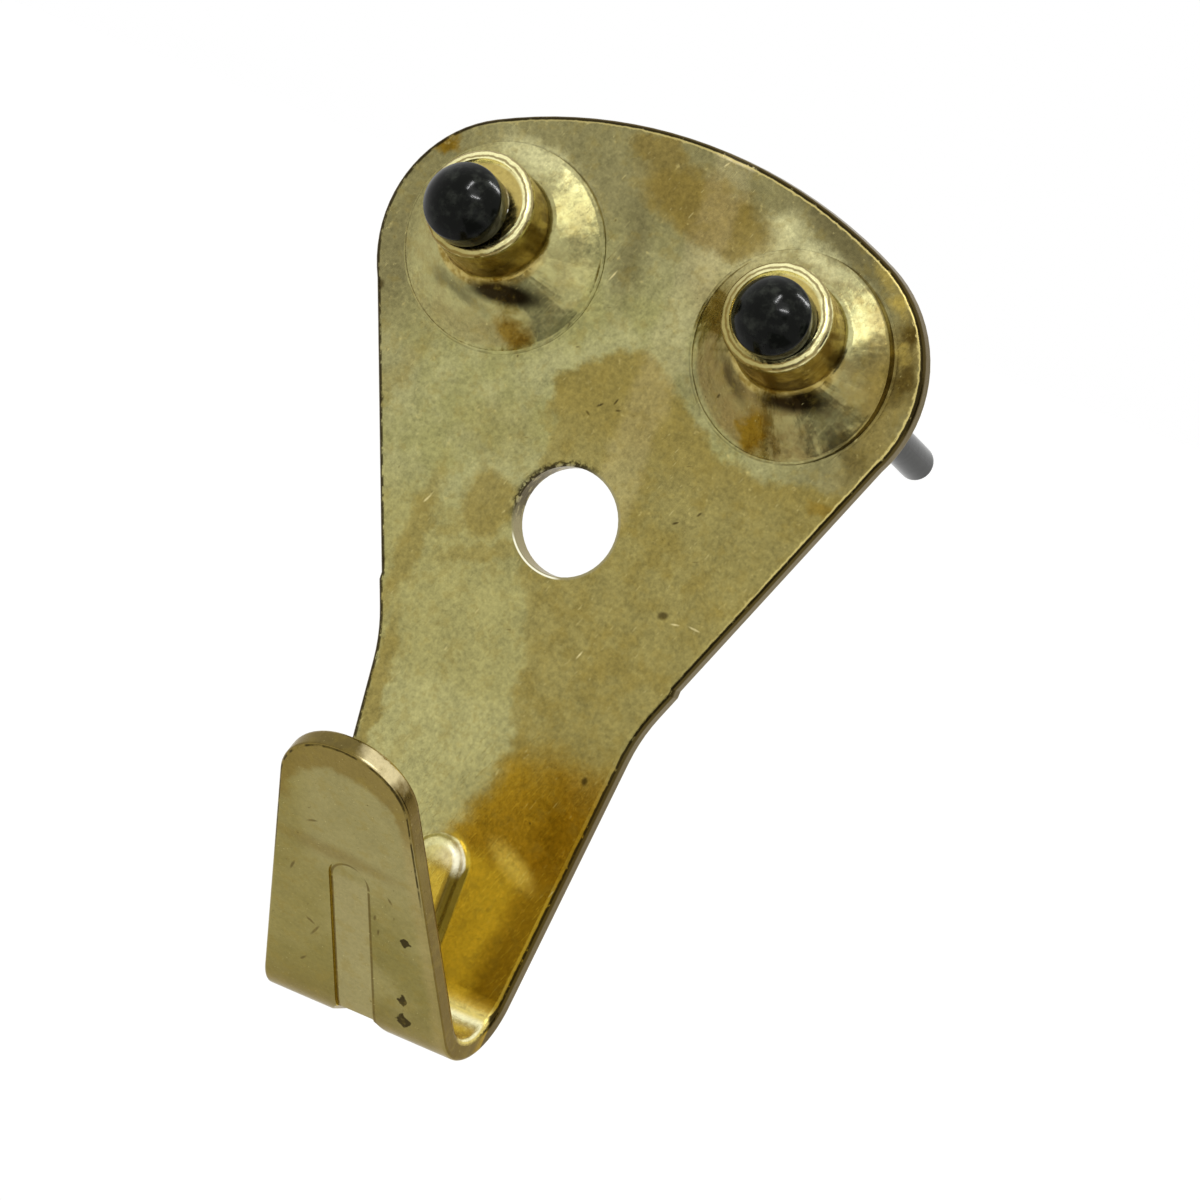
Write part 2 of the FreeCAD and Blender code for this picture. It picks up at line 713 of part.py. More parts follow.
def draw_nail_profile(body):
    """Half section: domed head, shank and a short blunt point."""
    sketch = new_sketch(body, "nail_profile", "XZ_Plane")
    head, shank = size("head_diameter") / 2, size("shank_diameter") / 2
    side, dome = size("head_side"), size("head_dome")
    tip, end = size("point_tip_radius"), -size("nail_length")
    point = end + size("point_length")
    dome_radius = (head**2 + dome**2) / (2 * dome)
    dome_centre = side + dome - dome_radius
    edge_angle = math.degrees(math.asin((side - dome_centre) / dome_radius))
    crown = add_arc(sketch, (0, dome_centre), dome_radius, edge_angle, 90)
    head_side = add_line(sketch, (head, side), (head, 0))
    under = add_line(sketch, (head, 0), (shank, 0))
    shank_side = add_line(sketch, (shank, 0), (shank, point))
    cone = add_line(sketch, (shank, point), (tip, end))
    cut = add_line(sketch, (tip, end), (0, end))
    axis = add_line(sketch, (0, end), (0, side + dome))
    join(sketch, crown, START, head_side, START)
    join(sketch, head_side, END, under, START)
    join(sketch, under, END, shank_side, START)
    join(sketch, shank_side, END, cone, START)
    join(sketch, cone, END, cut, START)
    join(sketch, cut, END, axis, START)
    join(sketch, axis, END, crown, END)
    level(sketch, under, cut)
    upright(sketch, head_side, shank_side, axis)
    on_vertical_axis(sketch, crown, CENTRE)
    on_vertical_axis(sketch, axis, START)
    dimension(
        sketch, "head_radius", "sizes.head_diameter / 2",
        "DistanceX", *ORIGIN, head_side, START, head,
    )
    dimension(
        sketch, "head_side", "sizes.head_side",
        "DistanceY", head_side, END, head_side, START, side,
    )
    dimension(
        sketch, "head_height", "sizes.head_side + sizes.head_dome",
        "DistanceY", *ORIGIN, crown, END, side + dome,
    )
    sketch.addConstraint(Sketcher.Constraint("PointOnObject", under, START, HORIZONTAL_AXIS))
    dimension(
        sketch, "shank_radius", "sizes.shank_diameter / 2",
        "DistanceX", *ORIGIN, shank_side, START, shank,
    )
    dimension(
        sketch, "nail_length", "sizes.nail_length", "DistanceY", axis, START, *ORIGIN, -end
    )
    dimension(
        sketch, "point_length", "sizes.point_length",
        "DistanceY", cone, END, cone, START, point - end,
    )
    dimension(
        sketch, "point_tip_radius", "sizes.point_tip_radius",
        "DistanceX", cut, END, cut, START, tip,
    )
    return sketch


def build_nail(side_name, side):
    """A nail in the collar on one side; side is 1 for right (+X) and -1 for left."""
    name = side_name + "_nail"
    body = doc.addObject("PartDesign::Body", name)
    body.Label = name
    profile = draw_nail_profile(body)
    turned = new_feature(
        body, "Revolution", "turned_nail", profile,
        ReferenceAxis=(profile, ["V_Axis"]), Angle=360.0,
    )
    doc.recompute()
    rim_height = size("head_side")

    def is_head_edge(edge):
        curve = edge.Curve
        return isinstance(curve, Part.Circle) and abs(curve.Center.z - rim_height) < TOLERANCE

    dress(
        body, "Fillet", "head_edge", turned, edges_where(turned, is_head_edge),
        Radius="sizes.head_edge_radius",
    )
    seat = "(sizes.collar_start + sizes.collar_length - sizes.seat_depth)"
    body.Placement = FreeCAD.Placement(
        FreeCAD.Vector(),
        FreeCAD.Rotation(FreeCAD.Vector(1, 0, 0), 90 - size("nail_tilt")),
    )
    bind(
        body,
        {
            "Placement.Base.x": "%d * (%s + sizes.%s_slip_x)" % (side, COLLAR_X, name),
            "Placement.Base.y": "-sizes.sheet_thickness - %s * cos(sizes.collar_tilt)"
            " - sizes.%s_lift * cos(sizes.nail_tilt)"
            " - sizes.%s_sag * sin(sizes.nail_tilt)" % (seat, name, name),
            "Placement.Base.z": "%s + %s * sin(sizes.collar_tilt)"
            " + sizes.%s_lift * sin(sizes.nail_tilt)"
            " - sizes.%s_sag * cos(sizes.nail_tilt)" % (COLLAR_Z, seat, name, name),
        },
    )
    doc.recompute()
    return body


sub_parts = [build_plate(), build_nail("left", -1), build_nail("right", 1)]

for item in doc.Objects:
    if {"Invalid", "Error"} & set(item.State):
        raise RuntimeError("%s failed: %s" % (item.Name, item.State))
for sub_part in sub_parts:
    if sub_part.Shape.isNull() or not sub_part.Shape.isValid():
        raise RuntimeError("%s has no valid shape" % sub_part.Label)

os.makedirs("parts", exist_ok=True)
for sub_part in sub_parts:
    sub_part.Shape.exportStep("parts/%s.step" % sub_part.Label)
    box = sub_part.Shape.BoundBox
    print(
        "%s: %d solid, %.1f cubic mm, %.2f x %.2f x %.2f mm"
        % (
            sub_part.Label, len(sub_part.Shape.Solids), sub_part.Shape.Volume,
            box.XLength, box.YLength, box.ZLength,
        )
    )
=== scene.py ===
# %% [markdown]
# # A two-nail picture hook
# The object is one stamping of brass-plated steel, with two blackened nails lying loose
# in its collars. The solids come from the frame, so every length here is a real one, in
# metres, and the wall is the plane y = 0. This lesson gives those solids their finish:
# plating that has tarnished in patches, a blanked edge with its burr, and black oxide.

# %% Load the frame
import math

import bpy
from mathutils import Matrix, Vector


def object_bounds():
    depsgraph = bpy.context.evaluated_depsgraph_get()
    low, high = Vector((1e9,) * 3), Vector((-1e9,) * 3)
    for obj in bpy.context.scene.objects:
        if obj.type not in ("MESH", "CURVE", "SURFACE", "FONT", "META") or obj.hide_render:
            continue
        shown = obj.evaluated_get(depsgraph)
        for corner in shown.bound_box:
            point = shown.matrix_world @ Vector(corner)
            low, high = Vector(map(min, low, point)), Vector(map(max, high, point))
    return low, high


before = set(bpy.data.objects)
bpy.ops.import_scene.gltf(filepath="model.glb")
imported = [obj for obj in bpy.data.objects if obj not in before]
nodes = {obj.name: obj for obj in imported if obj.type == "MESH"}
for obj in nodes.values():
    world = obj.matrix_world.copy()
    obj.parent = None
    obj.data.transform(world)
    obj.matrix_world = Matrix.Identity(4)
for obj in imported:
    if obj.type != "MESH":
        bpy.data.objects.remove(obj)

cad_low, cad_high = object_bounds()
print("nodes:", sorted(nodes))
print("box, mm:", [round(1000 * (high - low), 2) for low, high in zip(cad_low, cad_high)])

# %% [markdown]
# ## The camera
# The photograph was taken with a long lens from a little to the right of the hook and
# a little above it, with the hook turned clockwise in the picture. A rolled camera shows
# that, and the hook itself stays upright. The three directions are the picture's right,
# the picture's down and the way the camera looks, in the hook's own axes.

# %% Camera
PICTURE_RIGHT = Vector((0.87249, 0.34160, 0.34938))
PICTURE_DOWN = Vector((0.35012, 0.06173, -0.93467))
LOOKING = Vector((-0.34085, 0.93782, -0.06574))
CAMERA_PLACE = Vector((0.12237, -0.32862, 0.01972))

camera_data = bpy.data.cameras.new("camera")
camera_data.sensor_width = 36.0
camera_data.lens = 195.0
camera_data.clip_start = 0.01
camera_data.clip_end = 20.0
camera = bpy.data.objects.new("camera", camera_data)
bpy.context.scene.collection.objects.link(camera)
camera_turn = Matrix((PICTURE_RIGHT, -PICTURE_DOWN, -LOOKING)).transposed()
camera.matrix_world = Matrix.Translation(CAMERA_PLACE) @ camera_turn.to_4x4()
bpy.context.scene.camera = camera
print("camera is %.0f mm from the hook" % (1000 * CAMERA_PLACE.length))

# %% [markdown]
# ## Node maths
# A shader is a sum of many small masks. Written out node by node it is hard to read, so
# one small class wraps a socket: adding, multiplying or subtracting two of them adds the
# Math node, and `node` adds any other kind.


# %% A socket that can be used in sums
class Wire:
    """A node's output socket."""

    def __init__(self, tree, socket):
        self.tree = tree
        self.socket = socket

    def node(self, kind, settings, inputs, output=0):
        """Add a node: settings first, then values or wires for its sockets. A ramp's stops
        run from 0 to 1."""
        made = self.tree.nodes.new(kind)
        for name, value in settings.items():
            if name == "stops":
                ramp = made.color_ramp
                for at, _ in value[1:-1]:
                    ramp.elements.new(at)
                for element, (_, shade) in zip(ramp.elements, value):
                    element.color = (*shade, 1.0)
            else:
                setattr(made, name, value)
        for name, value in inputs.items():
            if isinstance(value, Wire):
                self.tree.links.new(value.socket, made.inputs[name])
            else:
                made.inputs[name].default_value = value
        return Wire(self.tree, made.outputs[output])

    def maths(self, operation, *values):
        return self.node("ShaderNodeMath", {"operation": operation}, dict(enumerate(values)))

    def __add__(self, other):
        return self.maths("ADD", self, other)

    def __sub__(self, other):
        return self.maths("SUBTRACT", self, other)

    def __rsub__(self, other):
        return self.maths("SUBTRACT", other, self)

    def __mul__(self, other):
        return self.maths("MULTIPLY", self, other)

    def __truediv__(self, other):
        return self.maths("DIVIDE", self, other)

    def __pow__(self, other):
        return self.maths("POWER", self, other)

    def __abs__(self):
        return self.maths("ABSOLUTE", self)

    __radd__ = __add__
    __rmul__ = __mul__


# %% [markdown]
# ## Masks and colours
# Most finishes are a few colours laid over each other through masks. A mask here is a
# number from 0 to 1: a soft step, or a noise that is cut off at a level by one. Colours
# are written as they would be read off a screen, and turned into light's own numbers.


# %% Steps, mixes and noise
def step(value, low, high):
    """0 below low and 1 above high, or the other way round, with a smooth edge."""
    down = low > high
    limits = (high, low) if down else (low, high)
    return value.node(
        "ShaderNodeMapRange",
        {"interpolation_type": "SMOOTHSTEP"},
        {
            "Value": value, "From Min": limits[0], "From Max": limits[1],
            "To Min": float(down), "To Max": float(not down),
        },
    )


def either(*masks):
    """The largest of several masks."""
    found = masks[0]
    for mask in masks[1:]:
        found = found.maths("MAXIMUM", found, mask)
    return found


def blend(mask, under, over):
    """One colour over another, through a mask."""
    return mask.node(
        "ShaderNodeMix",
        {"data_type": "RGBA", "clamp_factor": True},
        {0: mask, 6: under, 7: over},
        output=2,
    )


def noise(place, size, detail=2.0, roughness=0.5, output=0):
    """Noise whose lumps are about size millimetres across."""
    return place.node(
        "ShaderNodeTexNoise",
        {},
        {"Vector": place, "Scale": 1.0 / size, "Detail": detail, "Roughness": roughness},
        output=output,
    )


def rgb(red, green, blue):
    """A colour as it is read off a screen, turned into the linear one that light uses."""
    linear = [
        c / 12.92 if c <= 0.04045 else ((c + 0.055) / 1.055) ** 2.4
        for c in (red / 255, green / 255, blue / 255)
    ]
    return (*linear, 1.0)


# %% [markdown]
# ## Places
# A mark on sheet metal has a place, a size and a lean, as on a drawing. So a spot here is
# an oval with a soft border, measured in millimetres on the wall plane. The hook's bosses
# are mirror images, so a place is measured from the nearer one, and both are then made
# by one set of nodes.


# %% Moving, turning and measuring a place
def vectors(operation, *values, output=0):
    """A Vector Math node. A length comes out of its second output."""
    settings = {"operation": operation}
    return values[0].node("ShaderNodeVectorMath", settings, dict(enumerate(values)), output)


def moved(place, by):
    """The place shifted along each axis."""
    return vectors("ADD", place, by)


def scaled(place, by):
    """The place stretched along each axis."""
    return vectors("MULTIPLY", place, by)


def length(place):
    """How far a place is from where it is measured."""
    return vectors("LENGTH", place, output=1)


def turned(place, degrees):
    """The place turned about the y axis, so that marks can lie along a slope."""
    return place.node(
        "ShaderNodeVectorRotate",
        {"rotation_type": "Y_AXIS"},
        {"Vector": place, "Angle": math.radians(degrees)},
    )


def axes(place):
    """The x, y and z of a place."""
    parts = place.node("ShaderNodeSeparateXYZ", {}, {0: place})
    return [Wire(place.tree, output) for output in parts.socket.node.outputs]


# %% Spots and distances on the wall plane
def spot(place, centre, radii, lean=0.0, soft=0.5):
    """A soft oval on the wall plane; lean turns it, in degrees."""
    local = turned(moved(place, (-centre[0], 0.0, -centre[1])), lean)
    reach = length(scaled(local, (1.0 / radii[0], 0.0, 1.0 / radii[1])))
    return step(reach, 1.0 + soft, 1.0 - soft)


def ovals(place, listed):
    """Several spots as one mask. Each row gives x, z, half width, half height, lean,
    softness and weight."""
    return either(*[
        spot(place, (x, z), (wide, high), lean, soft) * weight
        for x, z, wide, high, lean, soft, weight in listed
    ])


def ring_distance(place, centre):
    """Distance from an axis that runs straight out of the wall."""
    return length(scaled(moved(place, (-centre[0], 0.0, -centre[1])), (1.0, 0.0, 1.0)))


def across_nearer(x, offset):
    """How far x is from the nearer of two lines at plus and minus the offset."""
    return x - x.maths("SIGN", x) * offset


# %% [markdown]
# ## A new material
# Each finish starts the same way: one Principled shader, the place on the object in
# millimetres, and the direction in which its surface faces. Every mark is worked out from
# those two, so it stays on the metal when the camera moves.


# %% A new material and where its nodes start
def new_finish(name):
    """A material with one Principled shader, and wires for place and direction."""
    material = bpy.data.materials.new(name)
    material.use_nodes = True
    tree = material.node_tree
    shader = tree.nodes["Principled BSDF"]
    start = Wire(tree, None)
    metres = start.node("ShaderNodeTexCoord", {}, {}, output=3)
    place = scaled(metres, (1000.0, 1000.0, 1000.0))
    facing = start.node("ShaderNodeNewGeometry", {}, {}, output=1)
    return material, shader, place, facing


def feed(shader, **wires):
    """Link what varies over the surface into the shader."""
    for name, wire in wires.items():
        wire.tree.links.new(wire.socket, shader.inputs[name.replace("_", " ")])


# %% [markdown]
# ## Where things are
# The marks on the plate are placed one by one, in millimetres, as on a drawing. Three soft
# borders matter most: one runs down the plate past the hole, one keeps clear of the
# right boss, and one closes off the gold in the crook of the hook.

# %% Places on the hook, in millimetres
FRONT = -1.3
HOLE_RADIUS = 3.0
BOSS = (8.78, 12.61)
BOSS_RADIUS = 5.76
COLLAR = (9.0, 13.2)
COLLAR_TILT = math.radians(13.0)
TONGUE_LEAN = math.radians(46.0)
TONGUE_FOOT = (-5.48, -27.45)
SIDE_TAPER = 0.103
RIB_TOP = (0.0, -19.6)
PALE_BORDER = [
    (-18.0, 0.2), (-12.7, 1.6), (-9.0, 0.45), (-5.6, -0.45), (-4.2, -1.15), (-2.6, -1.8),
    (0.8, -3.2), (2.9, -2.6), (4.7, -2.85), (7.0, -3.2), (10.0, -3.3),
]
BROWN_TOP = [
    (-6.0, 5.0), (-3.2, 7.2), (-1.0, 9.3), (1.0, 10.4), (2.2, 9.2), (4.5, 7.7),
    (5.7, 7.0), (7.6, 6.0), (10.5, 6.2), (14.0, 6.9),
]


def course(value, points):
    """The height of a drawn line at each value: a ramp, read as a number."""
    first, last = points[0][0], points[-1][0]
    low = min(height for _, height in points)
    span = max(height for _, height in points) - low
    stops = [
        ((at - first) / (last - first), ((height - low) / span,) * 3) for at, height in points
    ]
    along = (value - first) / (last - first)
    line = value.node("ShaderNodeValToRGB", {"stops": stops}, {"Fac": along})
    return line * span + low


print("borders drawn with", len(PALE_BORDER), "and", len(BROWN_TOP), "points")

# %% [markdown]
# ## Brass plating, tarnished
# Thin brass on steel never ages evenly. Where it has been handled it turns from a pale,
# greenish brass to brown gold, with soft borders. The colours below are mixed first in
# broad clouds, then in patches, then in a fine grain, because that is also how the eye
# reads them: from far away to close up.

# %% Colours of the plating
PALE = rgb(168, 164, 113)
PALE_GREEN = rgb(154, 150, 96)
PALE_MIDDLE = rgb(161, 154, 98)
PALE_LOW = rgb(169, 163, 108)
OLIVE = rgb(134, 126, 84)
BROWN_GOLD = rgb(147, 135, 78)
TAN = rgb(136, 118, 54)
STAIN = rgb(127, 98, 16)
CROOK_GOLD = rgb(205, 178, 60)
CROOK_AMBER = rgb(158, 128, 36)
CROOK_BROWN = rgb(132, 100, 16)
# A painted highlight in the crook.
CROOK_HIGHLIGHT = rgb(226, 206, 112)
DARK = rgb(34, 26, 10)


# %% Broad tarnish
def tarnish(place):
    """Broad colour of the plate's front, and the place with its borders broken up."""
    wobble = moved(noise(place, 2.2, 5.0, 0.68, output=1), (-0.5, -0.5, -0.5))
    rough = moved(place, scaled(wobble, (2.6, 0.0, 2.6)))
    x, _, z = axes(rough)
    colour = blend(step(noise(place, 3.5, 5.0, 0.6), 0.40, 0.62), PALE, PALE_GREEN)
    outer = step(ring_distance(rough, (-1.0, 3.0)), 8.5, 15.5)
    colour = blend(outer * step(z, -4.0, 2.0) * 0.85, colour, OLIVE)
    colour = blend(step(z, 1.0, -3.5), colour, PALE_MIDDLE)
    # Lighter below z = -10: painted light that makes up for the darker reflection of the
    # tongue there.
    colour = blend(step(z, -9.8, -11.4), colour, PALE_LOW)
    middle = step(x - course(z, PALE_BORDER), -0.35, 0.45)
    middle = middle * step(course(x, BROWN_TOP) - z, -0.35, 0.5)
    colour = blend(middle * 0.9, colour, BROWN_GOLD)
    warm = middle * step(noise(place, 2.0, 4.0, 0.6), 0.44, 0.64)
    colour = blend(either(warm * 0.5, middle * step(z, 3.0, 6.5) * 0.55), colour, TAN)
    low = step((x - 2.4) * 0.909 - (z + 12.0) * 0.416, -0.6, 1.0) * step(z, -10.5, -14.5)
    # The gold in the crook is partly tarnish and partly painted light, lightened for the
    # bright inside of the tongue that faces it.
    deep = blend(step(z, -19.6, -17.6), CROOK_GOLD, CROOK_AMBER)
    deep = blend(step(x - z * SIDE_TAPER, 5.9, 7.3) * 0.7, deep, CROOK_BROWN)
    # A painted highlight on the gold in the crook.
    deep = blend(spot(place, (4.0, -18.3), (1.3, 0.5), -28.0, 0.9), deep, CROOK_HIGHLIGHT)
    return blend(low, colour, deep), rough


# %% [markdown]
# ## Patches and marks
# Over the broad colour lie single patches: worn brown on the head, painted shade round
# the bosses where the sheet dips and reflects darker, burnt spots where the plating is
# gone, and painted dark reflections and highlights on the curved right shoulder. Each is
# a group of ovals in a table with its colour, so that one can be moved or taken out
# without touching any node. Nicks and chips are the same thing, only smaller.

# %% Tables of patches: x, z, half width, half height, lean, softness, weight
WORN_HEAD = (
    (1.4, 18.3, 4.4, 1.8, -14.0, 0.3, 1.0), (-2.3, 20.4, 1.6, 1.0, 0.0, 0.3, 0.8),
    (4.4, 15.6, 2.6, 2.4, 0.0, 0.5, 0.5), (14.6, 12.5, 1.3, 5.5, 0.0, 0.5, 0.7),
)
# Painted shade round the bosses, where the sheet dips and reflects darker.
SHADE_ROUND_BOSSES = (
    (9.5, 19.4, 4.2, 1.1, -24.0, 0.7, 1.0), (-1.7, 14.6, 0.8, 2.6, 12.0, 0.8, 0.8),
    (4.2, 9.2, 2.2, 1.0, -30.0, 0.7, 0.5), (-14.6, 11.0, 1.1, 5.5, -4.0, 0.7, 0.5),
)
WORN_LEFT = (
    (-4.6, -0.7, 1.5, 1.9, 0.0, 0.3, 1.0), (-8.0, -4.2, 0.7, 4.4, -3.0, 0.5, 0.8),
    (-6.9, -12.6, 0.5, 4.4, 5.0, 0.5, 1.0), (-4.0, -3.3, 2.6, 0.45, 28.0, 0.5, 0.7),
    (-4.9, -2.1, 2.2, 0.4, 30.0, 0.5, 0.6), (-5.4, 3.2, 2.6, 1.8, 10.0, 0.5, 0.3),
    (-12.6, 3.0, 0.6, 5.0, -22.0, 0.5, 0.4),
)
BURNT_SPOTS = (
    (-14.2, 16.7, 1.0, 0.5, 45.0, 0.5, 1.0), (-6.5, 8.6, 1.0, 0.7, -10.0, 0.6, 0.9),
    (8.6, 8.2, 0.75, 1.2, 5.0, 0.4, 1.0), (13.4, 5.6, 0.8, 0.5, 40.0, 0.5, 0.6),
    (5.2, -15.0, 0.7, 2.4, 15.0, 0.8, 0.7),
)
# Painted dark reflections on the curved right shoulder.
SHOULDER_DARK_REFLECTION = (
    (14.6, 16.1, 0.7, 0.9, -20.0, 0.7, 1.0), (14.9, 13.6, 0.6, 1.3, 0.0, 0.7, 0.9),
    (12.6, 19.2, 1.4, 0.5, -38.0, 0.8, 0.7), (14.0, 8.6, 0.5, 0.9, 20.0, 0.8, 0.5),
)
# Painted highlights on the curved right shoulder.
SHOULDER_HIGHLIGHT = (
    (13.7, 17.5, 0.5, 0.7, -30.0, 0.8, 1.0), (14.4, 14.9, 0.4, 0.4, 0.0, 0.8, 0.6),
    (12.3, 18.3, 1.0, 0.4, -38.0, 0.8, 0.7),
)
PATCHES = (
    (WORN_HEAD, 0.9, rgb(130, 111, 52)), (SHADE_ROUND_BOSSES, 0.8, rgb(104, 96, 62)),
    (WORN_LEFT, 0.7, TAN), (BURNT_SPOTS, 0.9, STAIN),
    (SHOULDER_DARK_REFLECTION, 0.95, rgb(74, 58, 19)), (SHOULDER_HIGHLIGHT, 0.9, rgb(178, 156, 76)),
)
print("patches made of", sum(len(listed) for listed, _, _ in PATCHES), "ovals")

# %% Tables of marks: x, z, half width, half height, lean
NICKS = (
    (-0.5, 6.54, 0.2, 0.06, 40.0), (-1.0, 5.9, 0.16, 0.06, -30.0),
    (0.3, 7.0, 0.2, 0.05, 70.0), (0.6, 6.6, 0.16, 0.05, 20.0), (7.0, 3.0, 0.15, 0.06, 60.0),
    (5.9, 2.1, 0.18, 0.06, 35.0), (7.06, -2.77, 0.3, 0.2, 20.0), (6.0, 9.3, 0.16, 0.07, 60.0),
    (-15.0, 8.3, 0.3, 0.25, 80.0), (-12.6, 2.4, 0.3, 0.15, 80.0),
    (-9.3, -5.7, 0.35, 0.2, 60.0), (6.2, -12.6, 0.16, 0.22, 0.0),
)
CHIPS = (
    (7.9, -2.97, 0.22, 0.05, 10.0), (9.0, -2.82, 0.3, 0.05, -5.0),
    (-2.4, 13.3, 0.3, 0.04, 68.0), (1.5, 21.0, 0.2, 0.04, 50.0),
    (-8.0, -1.6, 0.25, 0.05, 60.0), (3.4, -6.4, 0.25, 0.04, 68.0),
)
MARK_SOFTNESS = 0.5
print("marks:", len(NICKS), "dark nicks and", len(CHIPS), "light chips")


# %% Laying patches and marks
def patches(rough, colour):
    """Single patches over the broad colour."""
    for listed, strength, tint in PATCHES:
        colour = blend(ovals(rough, listed) * strength, colour, tint)
    return colour


def marks(place, colour):
    """Dark nicks and light chips that the photograph shows one by one."""
    for listed, tint in ((NICKS, rgb(58, 46, 20)), (CHIPS, rgb(222, 208, 150))):
        rows = [(*row, MARK_SOFTNESS, 1.0) for row in listed]
        colour = blend(ovals(place, rows) * 0.8, colour, tint)
    return colour


# %% [markdown]
# ## The back of the sheet
# The back lies against a wall and was never handled, so it has one plain brown brass. All
# the marks above are drawn on the wall plane and would go right through the sheet, as a
# stencil does. So the back is painted over them, wherever the surface faces the wall.


# %% The back of the sheet
def back_finish(place, facing, colour):
    """Plain brown brass behind, where the front's marks have no place."""
    _, y, _ = axes(place)
    _, ny, _ = axes(facing)
    back = step(ny, 0.1, 0.4) * step(y, -2.4, -1.8)
    plain = blend(step(noise(place, 3.0, 5.0, 0.65), 0.38, 0.62), OLIVE, BROWN_GOLD)
    return blend(back, colour, plain)


# %% [markdown]
# ## Bosses
# Drawing a collar out of flat sheet stretches the plating and leaves streaks that run out
# from the middle. The cone is brighter than the plate through painted light: a glare on
# the side that faces up and highlights above each collar. Clouds, painted shade on the
# side that faces down and painted darker reflections give the cone its form. At the
# collar's root, painted shade and a dark reflection are laid on.

# %% Colours and places on the cones
# Painted highlights: the glare and the bright ovals above the collars. Painted shade: the
# shade below, the darker ovals and the dark roots.
CONE = rgb(171, 165, 111)
CONE_GLARE = rgb(206, 203, 146)
CONE_SHADE = rgb(133, 115, 64)
CONE_CLOUD = rgb(128, 108, 62)
CONE_HIGHLIGHT = rgb(228, 223, 166)
CONE_DARK_REFLECTION = rgb(132, 119, 73)
ROOT_SHADE = rgb(28, 17, 6)
CONE_HIGHLIGHT_OVALS = (
    (4.6, 17.2, 2.6, 1.3, 40.0, 0.7, 1.0), (8.7, 18.0, 2.2, 0.6, -8.0, 0.8, 0.8),
    (-8.6, 17.9, 2.2, 0.7, -10.0, 0.8, 0.8),
)
DARK_REFLECTION_SPOTS = ((13.3, 13.2, 1.2, 1.7, 0.0, 0.7, 1.0), (-8.9, 7.9, 2.8, 0.9, 0.0, 0.8, 0.8))
FIRM_ROOT_SHADE = ((-7.3, 10.3, 2.0, 0.6, 8.0, 0.45, 1.0), (10.4, 10.6, 1.9, 0.7, 16.0, 0.45, 1.0))
BROKEN_ROOT_SHADE = (
    (-9.8, 9.8, 1.6, 0.45, -14.0, 0.8, 0.6), (6.6, 10.4, 1.5, 0.5, -40.0, 0.8, 0.7),
    (13.2, 9.4, 0.9, 0.5, 50.0, 0.8, 0.6),
)
print("cones have", len(CONE_HIGHLIGHT_OVALS + DARK_REFLECTION_SPOTS), "lights")
print("and", len(FIRM_ROOT_SHADE + BROKEN_ROOT_SHADE), "dark roots")


# %% Cones and roots
def on_cone(place, boss_reach):
    """1 on the raised cone of either boss."""
    _, y, _ = axes(place)
    return step(boss_reach, 5.9, 5.6) * step(y, -1.5, -1.8)


def cones(place, rough, facing, boss_reach, colour):
    """Clouds, and painted glare, highlights, shade and darker reflections on the cones,
    stronger on the right one.
    """
    x, y, _ = axes(place)
    nx, _, nz = axes(facing)
    right = step(x, -1.0, 1.0)
    cone = on_cone(place, boss_reach)
    clouds = step(noise(place, 1.3, 4.0, 0.6), 0.42, 0.62)
    colour = blend(cone * 0.75, colour, CONE)
    # Painted glare on the side that faces up.
    glare = cone * step(nx * 0.3 + nz * 0.9, 0.22, 0.42)
    colour = blend(glare * (0.2 + 0.6 * right), colour, CONE_GLARE)
    # Painted shade on the side that faces down.
    shade = cone * (nz * -0.5 - nx * 0.35) * 2.4
    colour = blend(shade * right, colour, CONE_SHADE)
    colour = blend(cone * clouds * (0.25 + 0.35 * right), colour, CONE_CLOUD)
    # Painted highlights above the collars.
    colour = blend(ovals(rough, CONE_HIGHLIGHT_OVALS) * step(y, -3.4, -3.0) * 0.85, colour, CONE_HIGHLIGHT)
    # Painted darker reflections on the cones.
    return blend(cone * ovals(rough, DARK_REFLECTION_SPOTS) * 0.7, colour, CONE_DARK_REFLECTION)


def roots(place, rough, boss_reach, colour):
    """Painted shade and a dark reflection where a collar rises out of its cone."""
    _, y, _ = axes(place)
    # Painted shade and dark reflection at the collar's root.
    dark = either(ovals(place, FIRM_ROOT_SHADE), ovals(rough, BROKEN_ROOT_SHADE))
    dark = on_cone(place, boss_reach) * dark * step(y, -4.0, -3.6) * 0.97
    return blend(dark, colour, ROOT_SHADE)


# %% [markdown]
# ## Collars
# The collars tilt upwards out of their cones, so a wall is found by its distance from a
# tilted axis, and the lip by how far out along that axis a place lies. The walls keep
# drawing streaks, with painted shade on the side that faces down, and they are darker
# towards the foot. The rolled lip is the brightest brass on the hook through a painted
# highlight on its upper side, with painted shade below and two thin dark rings.

# %% Colours of a collar
WALL = rgb(214, 196, 124)
WALL_STREAK = rgb(150, 128, 62)
WALL_SHADE_BELOW = rgb(206, 182, 96)
WALL_FOOT = rgb(110, 90, 40)
LIP_PAINTED_SHADE = rgb(162, 150, 92)
LIP_HIGHLIGHT = rgb(250, 244, 184)
LIP_RING_LINE = rgb(112, 88, 34)
LIP_RING_RADII = (2.66, 2.96)
BORE = rgb(190, 171, 98)


